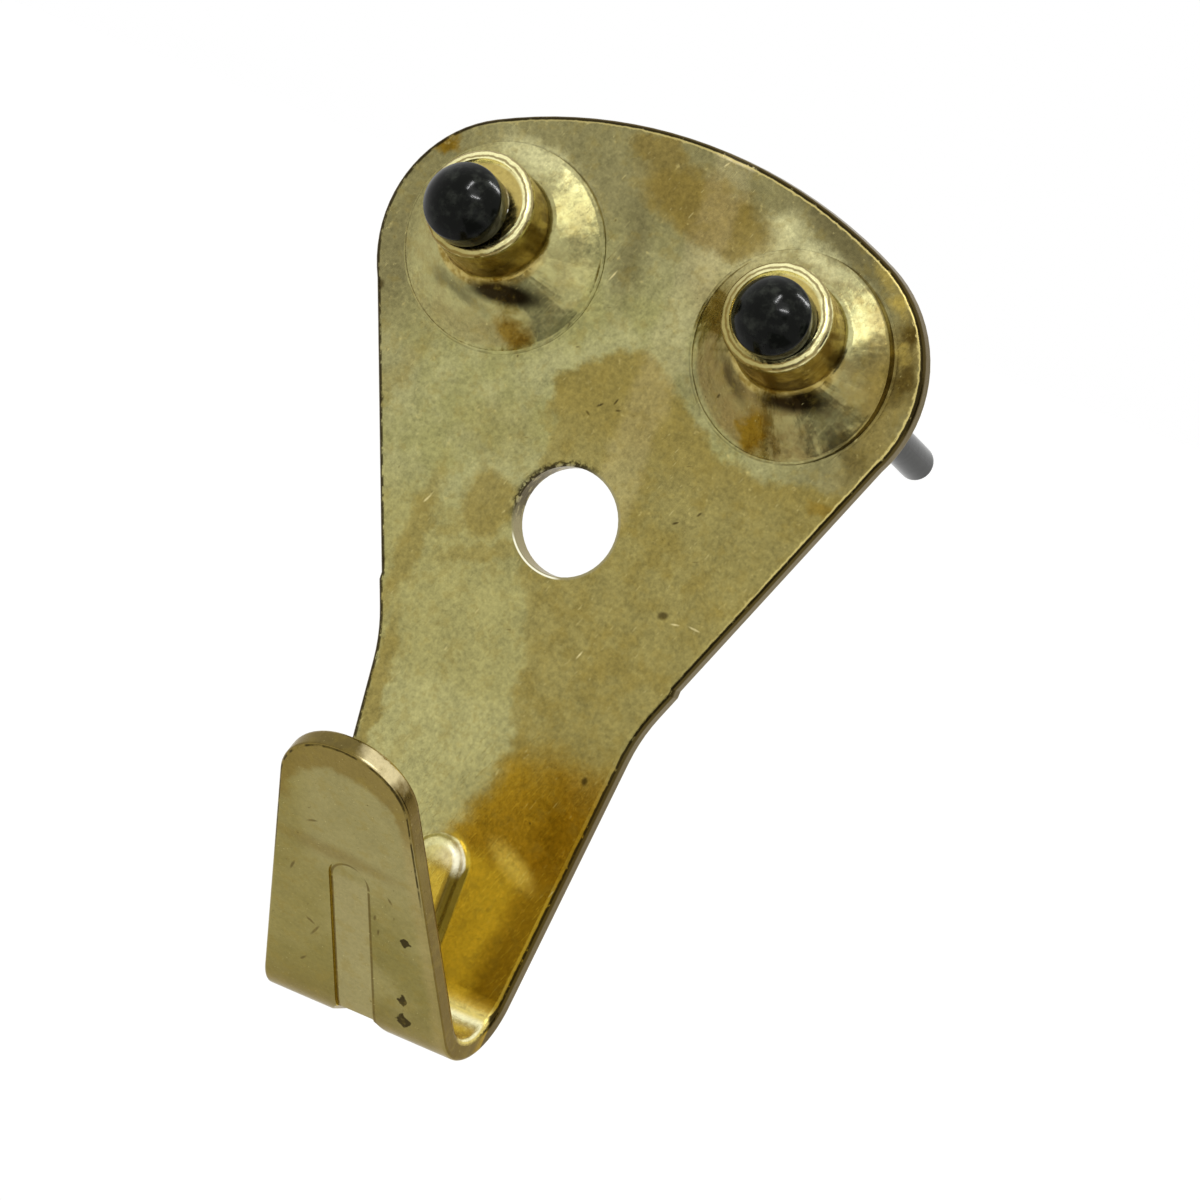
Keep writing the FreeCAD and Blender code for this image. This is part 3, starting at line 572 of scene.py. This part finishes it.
# %% Collars
def collars(place, facing, colour):
    """Golden walls with streaks and painted shade below, lips with a painted highlight,
    painted shade and two dark rings, and the bores.
    """
    x, y, z = axes(place)
    nx, _, nz = axes(facing)
    across = across_nearer(x, COLLAR[0])
    up, proud = z - COLLAR[1], y - FRONT
    rise = up * math.cos(COLLAR_TILT) + proud * math.sin(COLLAR_TILT)
    out = up * math.sin(COLLAR_TILT) - proud * math.cos(COLLAR_TILT)
    reach = (across * across + rise * rise) ** 0.5
    streak = noise(scaled(place, (1.0, 0.15, 1.0)), 0.6, 3.0)
    wall = blend(step(streak, 0.40, 0.60), WALL, WALL_STREAK)
    # Painted shade on the side of the wall that faces down.
    wall = blend(step(nz * 0.93 - nx * 0.35, -0.2, -0.9) * 0.5, wall, WALL_SHADE_BELOW)
    wall = blend(step(out, 2.7, 2.1) * 0.4, wall, WALL_FOOT)
    # Painted highlight on the lip's upper side, painted shade below it.
    around = (across * 0.5 + rise * 0.85) / reach
    lip = blend(step(around, -0.9, 0.5), LIP_PAINTED_SHADE, LIP_HIGHLIGHT)
    for radius in LIP_RING_RADII:
        ring_line = step(abs(reach - radius + 0.25 * (streak - 0.5)), 0.09, 0.03)
        lip = blend(ring_line * 0.75, lip, LIP_RING_LINE)
    collar = blend(step(out, 5.05, 5.35), wall, lip)
    collar = blend(step(reach, 2.5, 2.3), collar, BORE)
    return blend(step(reach, 3.6, 3.4) * step(y, -3.0, -3.5), colour, collar)


# %% [markdown]
# ## Grain
# Rolled sheet that has been tumbled before plating is covered in fine marks. Short, thin
# scratches lean one way, a few catch the light and a few are dark. Noise that is
# stretched along one direction and then cut off near its top gives both.

# %% Colours of the grain
FLECK = rgb(205, 192, 130)
SCRATCH = rgb(92, 76, 38)
SPECK = rgb(66, 54, 28)


# %% Scratches and specks
def scratches(place, lean, size, level, seed):
    """Thin short marks that lean by an angle; level sets how few there are."""
    local = scaled(turned(moved(place, (seed, seed, seed)), lean), (0.16, 1.0, 1.0))
    return step(noise(local, size, 2.0, 0.5), level, level + 0.06)


def grain(place, colour):
    """Fine mottle, light flecks and dark marks over a colour."""
    mottle = noise(place, 0.24, 4.0, 0.65)
    soft = noise(place, 1.6, 3.0, 0.55)
    x, y, z = axes(place)
    crook = step(z, -17.0, -19.0) * step(x, -2.0, 1.0)
    rubbed = 1.0 - 0.6 * either(step(y, -2.0, -2.8), crook)
    value = 1.0 + rubbed * (1.25 * (mottle - 0.5) + 0.55 * (soft - 0.5))
    colour = colour.node("ShaderNodeHueSaturation", {}, {"Color": colour, "Value": value})
    colour = blend(step(noise(place, 0.8, 4.0, 0.65), 0.50, 0.66) * 0.3, colour, TAN)
    light = scratches(place, 68.0, 0.11, 0.70, 3.0)
    dark = either(
        scratches(place, 60.0, 0.18, 0.75, 11.0), scratches(place, 20.0, 0.17, 0.76, 17.0)
    )
    colour = blend(light * 0.5, colour, FLECK)
    colour = blend(dark * 0.5, colour, SCRATCH)
    specks = step(noise(place, 0.4, 2.0), 0.755, 0.80)
    return blend(specks * 0.6, colour, SPECK), mottle, soft


# %% [markdown]
# ## Edges
# The punch rounds the front edge of a blanked sheet, then shears it, and the last part
# tears. So the rim has a rolled edge with a painted highlight along it, then a thin torn
# crack that holds dirt, then a duller band. How far the surface faces away from the front
# tells these apart. The hole was punched the same way: it has a pale wall, a painted glint
# on its lower edge, and dirt in the torn edge above it.

# %% Colours of the edges
CUT_EDGE = rgb(68, 56, 26)
ROLLED_EDGE_HIGHLIGHT = rgb(222, 204, 130)
HOLE_WALL = rgb(150, 142, 106)
GLINT = rgb(255, 252, 226)


# %% Rim of the sheet
def rims(place, facing, boss_reach, colour):
    """Painted highlight on the rolled edge, torn crack, cut band and burr round the flat part
    of the sheet.
    """
    x, y, z = axes(place)
    nx, ny, _ = axes(facing)
    on_rib = step(abs(x), 2.6, 2.3) * step(z, -16.0, -17.0)
    sheet = (1.0 - step(boss_reach, 6.3, 5.9)) * (1.0 - on_rib) * step(y, -1.6, -1.45)
    ragged = noise(place, 0.45, 3.0, 0.6)
    away = ny + 0.14 * (ragged - 0.5)
    band = step(away, -0.80, -0.70) * step(ny, 0.8, 0.6) * sheet
    colour = blend(band * 0.92, colour, CUT_EDGE)
    # A painted highlight along the rolled front edge.
    line = step(away, -0.985, -0.95) * step(away, -0.84, -0.90) * sheet * step(nx, -0.3, 0.1)
    colour = blend(line * step(z, -8.0, 3.0) * 0.7, colour, ROLLED_EDGE_HIGHLIGHT)
    crack = step(away, -0.91, -0.86) * step(away, -0.62, -0.72) * sheet
    colour = blend(crack * step(ragged, 0.30, 0.40) * 0.92, colour, DARK)
    burr = step(nx, -0.12, -0.3) * sheet * step(noise(place, 0.6, 4.0, 0.7), 0.40, 0.52)
    return blend(burr * 0.85, colour, DARK), ragged


def hole_edge(place, ragged, colour):
    """The hole's pale wall, its glint and the dirt in its torn edge."""
    x, _, z = axes(place)
    hole_reach = ring_distance(place, (0.0, 0.0))
    wall = step(hole_reach, HOLE_RADIUS + 0.20, HOLE_RADIUS + 0.05)
    colour = blend(wall * 0.9, colour, HOLE_WALL)
    glint = step(abs(hole_reach - (HOLE_RADIUS + 0.1)), 0.07, 0.03)
    glint = glint * spot(place, (-1.1, -2.8), (1.9, 1.1), -25.0, 0.2)
    colour = blend(glint, colour, GLINT)
    torn = hole_reach + 1.3 * (ragged - 0.5)
    torn = step(torn, HOLE_RADIUS + 0.42, HOLE_RADIUS + 0.16)
    torn = torn * step(x * 0.7 - z * 0.7, -1.0, -2.4) * step(ragged, 0.38, 0.48)
    return blend(torn * 0.9, colour, DARK)


# %% [markdown]
# ## The tongue's dull face
# Outside, the tongue is dull from handling, and only a rim round its end has kept some
# gold. Its marks are drawn on the tongue itself, so they are measured across it and up
# along it, from the foot, and not on the wall plane.

# %% Colours of the tongue
DULL = rgb(127, 117, 64)
DULL_LIGHT = rgb(147, 137, 86)
DULL_LEFT = rgb(134, 123, 68)
DULL_TOP = rgb(151, 142, 95)
DULL_BAND = rgb(118, 100, 52)
DULL_FOOT = rgb(112, 96, 46)
DULL_RIM = rgb(121, 101, 45)
DULL_RIGHT = rgb(156, 139, 88)
DULL_SCRATCH = rgb(108, 94, 54)


# %% Measuring along the tongue
def along_tongue(place, facing):
    """How far up the tongue a place lies, and how much it faces outwards there."""
    _, y, z = axes(place)
    _, ny, nz = axes(facing)
    foot_y, foot_z = TONGUE_FOOT
    run = (z - foot_z) * math.cos(TONGUE_LEAN) - (y - foot_y) * math.sin(TONGUE_LEAN)
    out = ny * -math.cos(TONGUE_LEAN) - nz * math.sin(TONGUE_LEAN)
    return run, out


def uneven(place):
    """A slow shift between -0.5 and 0.5, which keeps a drawn border from looking drawn."""
    return noise(place, 1.4, 4.0, 0.6) - 0.5


def on_tongue(x, run, wobble):
    """A place on the tongue's face, with its borders broken up a little."""
    shifted = {"X": x + wobble * 0.4, "Z": run + wobble * 0.6}
    return x.node("ShaderNodeCombineXYZ", {}, shifted)


# %% The dull face
def tongue_face(place, run, wobble):
    """Dull brass, lighter towards the end, with a brown band and a golden rim."""
    x, _, _ = axes(place)
    dull = blend(step(noise(place, 3.6, 5.0, 0.6), 0.36, 0.66), DULL, DULL_LIGHT)
    dull = blend(step(x + wobble * 2.0, 0.5, -3.0) * 0.6, dull, DULL_LEFT)
    dull = blend(step(run, 8.0, 12.0) * step(x, -3.5, -1.5) * 0.7, dull, DULL_TOP)
    band = spot(on_tongue(x, run, wobble), (-0.6, 11.7), (3.4, 0.5), -4.0, 0.8)
    dull = blend(band * 0.55, dull, DULL_BAND)
    dull = blend(step(run, 3.0, -2.0) * 0.7, dull, DULL_FOOT)
    reach = x * x / 12.0 + (run - 14.6) * (run - 14.6) / 13.0 + wobble * 0.9
    rim = either(step(run, 14.2, 14.9) * step(reach, 0.85, 1.2), step(run, 18.0, 18.8))
    dull = blend(rim * 0.75, dull, DULL_RIM)
    right = step(x + run * SIDE_TAPER + wobble * 0.5, 4.6, 5.3) * step(run, 17.0, 14.0)
    dull = blend(right * 0.5, dull, DULL_RIGHT)
    return blend(scratches(place, 62.0, 0.22, 0.70, 23.0) * 0.5, dull, DULL_SCRATCH)


# %% [markdown]
# ## Groove, scuffs and chips
# The groove pressed into the tongue is shallow, so its wall's shade is painted as a dark
# line along its edge, and the metal inside is lighter. The edge is an arch on two straight
# legs, drawn as a thin line at a fixed distance from a centre. Three chips and eight
# scuffs lie round it.

# %% Marks on the tongue, measured across and along it
GROOVE = (0.1, 9.85)
GROOVE_RADIUS = 1.16
GROOVE_LIGHT = rgb(155, 145, 99)
GROOVE_SHADE_LINE = rgb(84, 66, 28)
SCUFF = rgb(84, 68, 34)
SCUFF_HEIGHT = 0.07
SCUFFS = (
    (-2.2, 4.8, 0.45, 60.0), (-2.5, 5.4, 0.3, -40.0), (1.6, 7.9, 0.2, 80.0),
    (1.75, 6.8, 0.2, 85.0), (-3.4, 9.4, 0.35, 70.0), (-2.0, 13.6, 0.3, 20.0),
    (2.5, 9.6, 0.25, -60.0), (-3.0, 2.2, 0.3, 50.0),
)
TONGUE_CHIP = rgb(44, 34, 10)
TONGUE_CHIPS = ((3.33, 6.85), (3.13, 1.96), (3.09, 0.46))
print("tongue has", len(SCUFFS), "scuffs and", len(TONGUE_CHIPS), "chips")


# %% Groove, scuffs and chips
def tongue_marks(place, run, wobble, dull):
    """The groove's painted shade line and lighter floor, scuffs and chips on the dull face.
    """
    x, _, _ = axes(place)
    aside, above = x - GROOVE[0], run - GROOVE[1]
    arch = abs((aside * aside + above * above) ** 0.5 - GROOVE_RADIUS)
    legs = either(abs(abs(aside) - GROOVE_RADIUS), step(run, 9.6, 10.0))
    outline = either(step(arch, 0.10, 0.04) * step(run, 9.7, 9.9), step(legs, 0.10, 0.04))
    inside = step(abs(aside), 1.15, 1.05) * step(run, 10.4, 9.6)
    dull = blend(inside * 0.8, dull, GROOVE_LIGHT)
    # Painted shade along the groove's edge.
    dull = blend(outline * 0.7, dull, GROOVE_SHADE_LINE)
    rows = [
        (across, up, wide, SCUFF_HEIGHT, lean, MARK_SOFTNESS, 1.0)
        for across, up, wide, lean in SCUFFS
    ]
    dull = blend(ovals(on_tongue(x, run, wobble), rows) * 0.7, dull, SCUFF)
    chips = either(*[
        step(abs(x - across) * 1.6 + abs(run - up) + wobble * 2.4, 0.62, 0.5)
        for across, up in TONGUE_CHIPS
    ])
    return blend(chips * 0.95, dull, TONGUE_CHIP)


# %% [markdown]
# ## The tongue's edges and inside
# Inside, where nothing rubs, the brass is still bright, and that is what lights up the
# crook of the hook. The cut edge is brown, with a painted highlight in one streak at its
# end. Outside, inside and edge are told apart by how much the surface faces out along
# the tongue.

# %% Colours of the edges and inside
BRIGHT_BRASS = rgb(230, 213, 150)
TONGUE_EDGE = rgb(100, 84, 42)
END_STREAK_HIGHLIGHT = rgb(236, 220, 168)


# %% The whole tongue
def tongue_finish(place, facing, colour):
    """Dull outside, bright inside, and a brown cut edge with a painted highlight at its end.
    """
    x, y, z = axes(place)
    nx, _, _ = axes(facing)
    run, out = along_tongue(place, facing)
    wobble = uneven(place)
    here = step(z, -9.0, -10.0) * step(y, -1.5, -2.4)
    dull = tongue_marks(place, run, wobble, tongue_face(place, run, wobble))
    colour = blend(step(out, 0.3, 0.6) * here, colour, dull)
    colour = blend(step(out, -0.3, -0.6) * here, colour, BRIGHT_BRASS)
    sides = step(abs(nx), 0.7, 0.85) * step(abs(x), 2.4, 2.8)
    end = step(abs(out), 0.75, 0.5) * step(run, 16.0, 17.0)
    colour = blend(either(sides, end) * here * 0.9, colour, TONGUE_EDGE)
    # A painted highlight along the end of the cut edge.
    streak = end * step(abs(x - 2.0 + wobble * 1.5), 1.5, 0.7)
    colour = blend(streak * 0.85, colour, END_STREAK_HIGHLIGHT)
    line = step(out, 0.98, 0.95) * step(out, 0.70, 0.80) * step(run, 9.0, 12.0) * here
    return blend(line * step(noise(place, 0.9, 3.0), 0.36, 0.5) * 0.85, colour, DARK)


# %% [markdown]
# ## Bend and rib
# The bend and the rib stand proud of the metal round them. Where they face up they catch
# the light from above, and that is painted in: gold that turns nearly white. The rib's
# crest is gold lightened with painted light, its right flank gets painted shade, and its
# round top end a painted highlight, the brightest spot in the crook.

# %% Colours of the bend and the rib
BEND_LIT_GOLD = rgb(222, 202, 116)
BEND_HIGHLIGHT = rgb(250, 243, 190)
RIB_CREST_LIT = rgb(226, 206, 104)
RIB_FLANK_SHADE = rgb(74, 58, 16)
RIB_END_HIGHLIGHT = rgb(226, 220, 158)
RIB_END_HOTSPOT = rgb(255, 250, 218)


# %% Bend and rib
def bend_finish(place, facing, colour):
    """Painted light inside the bend: gold that turns white where it faces up."""
    _, y, z = axes(place)
    _, _, nz = axes(facing)
    bend = step(z, -23.5, -24.5) * step(y, -1.1, -1.35) * step(y, -4.8, -4.0)
    # Painted light where the inside of the bend faces up.
    colour = blend(bend * step(nz, 0.05, 0.45), colour, BEND_LIT_GOLD)
    return blend(bend * step(nz, 0.5, 0.65), colour, BEND_HIGHLIGHT)


def rib_finish(place, facing, colour):
    """Crest lightened with painted light, painted shade on the right flank and a painted
    highlight on the top end; also a mask of that end.
    """
    x, y, z = axes(place)
    nx, _, _ = axes(facing)
    wobble = uneven(place)
    crest = step(abs(x), 1.0, 0.8) * step(z, -19.6, -20.2) * step(y, -1.5, -1.7)
    # The crest lightened with painted light.
    colour = blend(crest * step(y, -2.9, -2.4), colour, RIB_CREST_LIT)
    flank = step(nx, 0.22, 0.4) * step(abs(x), 2.2, 2.05) * step(z, -19.0, -19.5)
    # Painted shade on the rib's right flank.
    colour = blend(flank * step(y, -4.0, -3.0) * 0.85, colour, RIB_FLANK_SHADE)
    end = step(ring_distance(place, RIB_TOP) + wobble * 0.4, 1.62, 1.5)
    end = end * step(y, -2.9, -2.4) * step(y, FRONT, FRONT - 0.06)
    end = end * step(z + wobble * 1.2, -20.2, -19.2)
    # Painted highlight on the rib's top end.
    gleam = spot(place, (1.1, -19.2), (0.9, 0.8), 0.0, 0.7)
    return blend(end * 0.95, colour, blend(gleam, RIB_END_HIGHLIGHT, RIB_END_HOTSPOT)), end


# %% [markdown]
# ## The plating's shader
# Now the layers go on in the order in which the metal got them: tarnish, drawing, wear,
# then grain over everything, and last the edges: dirt in their torn parts, a painted
# highlight on the rolled rim and a painted glint in the hole, and a painted shade line in
# the crease round each boss. Brass is a metal, so its base colour is its reflection. A
# warm specular tint keeps the reflections at grazing angles from turning grey-blue, which
# they would do on real metal only at angles that a rough edge never shows.

# %% The plating's colour
brass, brass_shader, place, facing = new_finish("tarnished_brass")
brass_shader.inputs["Metallic"].default_value = 1.0
brass_shader.inputs["Specular Tint"].default_value = (0.88, 0.82, 0.70, 1.0)

place_x, _, place_z = axes(place)
boss_parts = {"X": across_nearer(place_x, BOSS[0]), "Z": place_z - BOSS[1]}
from_boss = place.node("ShaderNodeCombineXYZ", {}, boss_parts)
boss_reach = length(from_boss)

colour, rough = tarnish(place)
colour = cones(place, rough, facing, boss_reach, colour)
colour = collars(place, facing, colour)
colour = roots(place, rough, boss_reach, colour)
colour = patches(rough, colour)
colour = marks(place, colour)
colour = back_finish(place, facing, colour)
colour = tongue_finish(place, facing, colour)
colour = bend_finish(place, facing, colour)
colour, rib_end = rib_finish(place, facing, colour)
colour, mottle, soft = grain(place, colour)
colour, ragged = rims(place, facing, boss_reach, colour)
colour = hole_edge(place, ragged, colour)
# A painted shade line in the crease round each boss.
crease = step(abs(boss_reach - BOSS_RADIUS), 0.08, 0.02)
colour = blend(crease * step(noise(place, 0.8, 2.0), 0.4, 0.55) * 0.3, colour, DARK)
print("layers of colour:", len([n for n in brass.node_tree.nodes if n.type == "MIX"]))

# %% [markdown]
# ## Relief
# Only what is too shallow to model is bump: the mottle and the scratches, which are a few
# thousandths of a millimetre deep, the slow waves of the sheet, and the streaks and dents
# that the punch leaves on a cone. With a bump distance of one millimetre, the heights can
# be written in millimetres.


# %% Relief
def streaks_outwards(from_axis, reach):
    """A place whose noise runs out from an axis in streaks."""
    around = scaled(vectors("NORMALIZE", from_axis), (3.0, 3.0, 3.0))
    return moved(around, reach.node("ShaderNodeCombineXYZ", {}, {"Y": reach * 0.15}))


height = 0.004 * mottle + 0.02 * soft + 0.003 * scratches(place, 68.0, 0.16, 0.6, 3.0)
drawn = step(boss_reach, 5.9, 5.5)
height = height + drawn * 0.03 * noise(streaks_outwards(from_boss, boss_reach), 0.5)
height = height + drawn * 0.16 * noise(place, 1.9, 2.0, 0.45)
feed(
    brass_shader,
    Base_Color=colour,
    Normal=place.node("ShaderNodeBump", {}, {"Height": height, "Distance": 0.001}),
    Roughness=0.15 + 0.16 * mottle + 0.1 * rib_end,
)
print("tarnished_brass has %d nodes" % len(brass.node_tree.nodes))

# %% [markdown]
# ## Black oxide nails
# The heads are black and satin, with a faint grey bloom. Black oxide reflects very
# little, so the specular level is set low and the roughness varies a little. The shanks
# behind the plate are a flat dark grey.

# %% Nail finish
OXIDE = rgb(5, 6, 4)
OXIDE_BLOOM = rgb(36, 38, 33)
SHANK_GREY = rgb(36, 36, 33)

black, nail_shader, nail_place, _ = new_finish("black_oxide")
nail_shader.inputs["Specular IOR Level"].default_value = 0.09
soot = noise(nail_place, 0.7, 5.0, 0.65)
bloom = step(soot, 0.45, 0.80)
shank = step(axes(nail_place)[1], -1.0, 1.0)
nail_height = 0.008 * noise(nail_place, 0.6, 3.0, 0.5)
feed(
    nail_shader,
    Base_Color=blend(shank, blend(bloom, OXIDE, OXIDE_BLOOM), SHANK_GREY),
    Roughness=0.08 + 0.14 * soot,
    Normal=nail_place.node("ShaderNodeBump", {}, {"Height": nail_height, "Distance": 0.001}),
)
print("black_oxide has %d nodes" % len(black.node_tree.nodes))

# %% [markdown]
# ## Putting the finishes on
# The meshes come from the frame and stay as they are. Each gets one material, in place of
# the plain one that it came with.

# %% Put the finishes on
for name, material in (("hanger_plate", brass), ("left_nail", black), ("right_nail", black)):
    mesh = nodes[name].data
    mesh.materials.clear()
    mesh.materials.append(material)
    print(name, len(mesh.polygons), "faces")

# %% [markdown]
# ## Floor
# Metal shows what is around it, so the room matters more than the lamps. Here it is all
# white, as the background of a catalogue picture is: a sheet of matt paper below the
# hook. It glows a little for the camera and for reflections only, so that it looks white
# without lighting the hook, and it still takes the hook's shadow.


# %% A flat panel, turned towards the hook
def panel(name, centre, towards, width, height):
    """A rectangle at a centre, facing along towards."""
    mesh = bpy.data.meshes.new(name)
    w, h = width / 2, height / 2
    mesh.from_pydata([(-w, -h, 0), (w, -h, 0), (w, h, 0), (-w, h, 0)], [], [(0, 1, 2, 3)])
    made = bpy.data.objects.new(name, mesh)
    bpy.context.scene.collection.objects.link(made)
    made.location = centre
    made.rotation_mode = "QUATERNION"
    made.rotation_quaternion = Vector(towards).to_track_quat("Z", "Y")
    return made


def looks_white(place):
    """1 where the camera, a reflection or a refraction looks, 0 for light on the object."""
    rays = [place.node("ShaderNodeLightPath", {}, {}, output=i) for i in (0, 3, 6)]
    return either(*rays)


# %% Floor
FLOOR_DROP = 0.03
FLOOR_SIDE = 12.0
FLOOR_GLOW = 0.3
floor_level = cad_low.z - FLOOR_DROP
floor = panel("floor", (0.0, 0.0, floor_level), (0.0, 0.0, 1.0), FLOOR_SIDE, FLOOR_SIDE)
paper, paper_shader, paper_place, _ = new_finish("paper")
paper_shader.inputs["Base Color"].default_value = (0.84, 0.84, 0.83, 1.0)
paper_shader.inputs["Roughness"].default_value = 0.9
paper_shader.inputs["Specular IOR Level"].default_value = 0.1
paper_shader.inputs["Emission Color"].default_value = (1.0, 1.0, 1.0, 1.0)
glow = looks_white(paper_place) * FLOOR_GLOW
paper.node_tree.links.new(glow.socket, paper_shader.inputs["Emission Strength"])
floor.data.materials.append(paper)
print("floor at z = %.1f mm" % (1000 * floor_level))

# %% [markdown]
# ## World
# The world is the room's white walls. The camera and the reflections see it as pure
# white, and as a light it is a little weaker, so that pale brass does not clip.

# %% World
WALL_LEVEL = 0.85
world = bpy.data.worlds.new("studio")
bpy.context.scene.world = world
world.use_nodes = True
sky = world.node_tree
background = sky.nodes["Background"]
white = looks_white(Wire(sky, None))
level = WALL_LEVEL + (1.0 - WALL_LEVEL) * white
sky.links.new(level.socket, background.inputs["Strength"])
background.inputs["Color"].default_value = (1.0, 1.0, 1.0, 1.0)
print("world lights the hook at %.2f of white" % WALL_LEVEL)

# %% [markdown]
# ## Dark cards
# Metal in an all-white room looks flat. A photographer holds up dark cards to give it
# dark sides. Here three cards do that: one on the floor, one at the side and one above
# the camera. They are seen by reflections alone: they cast no shadow, give no light to
# matt surfaces and don't show in the picture.


# %% Dark cards
def card(name, grey, centre, towards, width, height):
    """A card that only reflections see, as dark as grey says."""
    matt, matt_shader, _, _ = new_finish(name)
    matt_shader.inputs["Base Color"].default_value = (0.0, 0.0, 0.0, 1.0)
    matt_shader.inputs["Roughness"].default_value = 0.9
    matt_shader.inputs["Specular IOR Level"].default_value = 0.0
    matt_shader.inputs["Emission Color"].default_value = (grey, grey, grey, 1.0)
    matt_shader.inputs["Emission Strength"].default_value = 1.0
    made = panel(name, centre, towards, width, height)
    made.data.materials.append(matt)
    made.visible_camera = False
    made.visible_diffuse = False
    made.visible_shadow = False
    print(name, "is %.0f mm from the hook" % (1000 * Vector(centre).length))


card("low_card", 0.35, (0.075, -0.075, floor_level + 0.002), (0.0, 0.0, 1.0), 0.10, 0.10)
card("side_card", 0.10, (0.30, 0.08, 0.0), (-1.0, 0.0, 0.0), 0.25, 0.2)
card("upper_card", 0.30, (0.24, -0.33, 0.12), (-0.58, 0.76, -0.27), 0.08, 0.08)

# %% [markdown]
# ## Lamps
# One large soft lamp above and in front lights the hook, and a small one from the right
# lifts the cones' bright sides. Three narrow lamps are linked to the nails only, and give
# their black heads the outline of a window, as the photograph shows it.


# %% Lamps
def softbox(name, towards, distance, width, height, level):
    """An area lamp that looks at the hook, as bright as level times white."""
    lamp_data = bpy.data.lights.new(name, "AREA")
    lamp_data.shape = "RECTANGLE"
    lamp_data.size = width
    lamp_data.size_y = height
    lamp_data.energy = level * math.pi * width * height
    lamp = bpy.data.objects.new(name, lamp_data)
    bpy.context.scene.collection.objects.link(lamp)
    aim = Vector(towards).normalized()
    lamp.location = aim * distance
    lamp.rotation_mode = "QUATERNION"
    lamp.rotation_quaternion = aim.to_track_quat("Z", "Y")
    print("%s: %.2f W" % (name, lamp_data.energy))
    return lamp


LAMP_DISTANCE = 0.6
WINDOW_LEVEL = 120.0
softbox("key", (0.28, -0.70, 0.62), LAMP_DISTANCE, 0.26, 0.26, 1.8)
softbox("side", (0.66, -0.75, -0.02), LAMP_DISTANCE, 0.10, 0.12, 0.7)
only_nails = bpy.data.collections.new("only_nails")
for name in ("left_nail", "right_nail"):
    only_nails.objects.link(nodes[name])
for lamp in (
    softbox("window_left", (-0.02, -0.58, 0.81), LAMP_DISTANCE, 0.02, 0.24, WINDOW_LEVEL),
    softbox("window_low", (0.42, -0.74, 0.52), LAMP_DISTANCE, 0.22, 0.02, WINDOW_LEVEL),
    softbox("window_right", (0.47, 0.20, 0.85), LAMP_DISTANCE, 0.02, 0.28, WINDOW_LEVEL),
):
    lamp.light_linking.receiver_collection = only_nails
bpy.context.scene.view_settings.view_transform = "Standard"
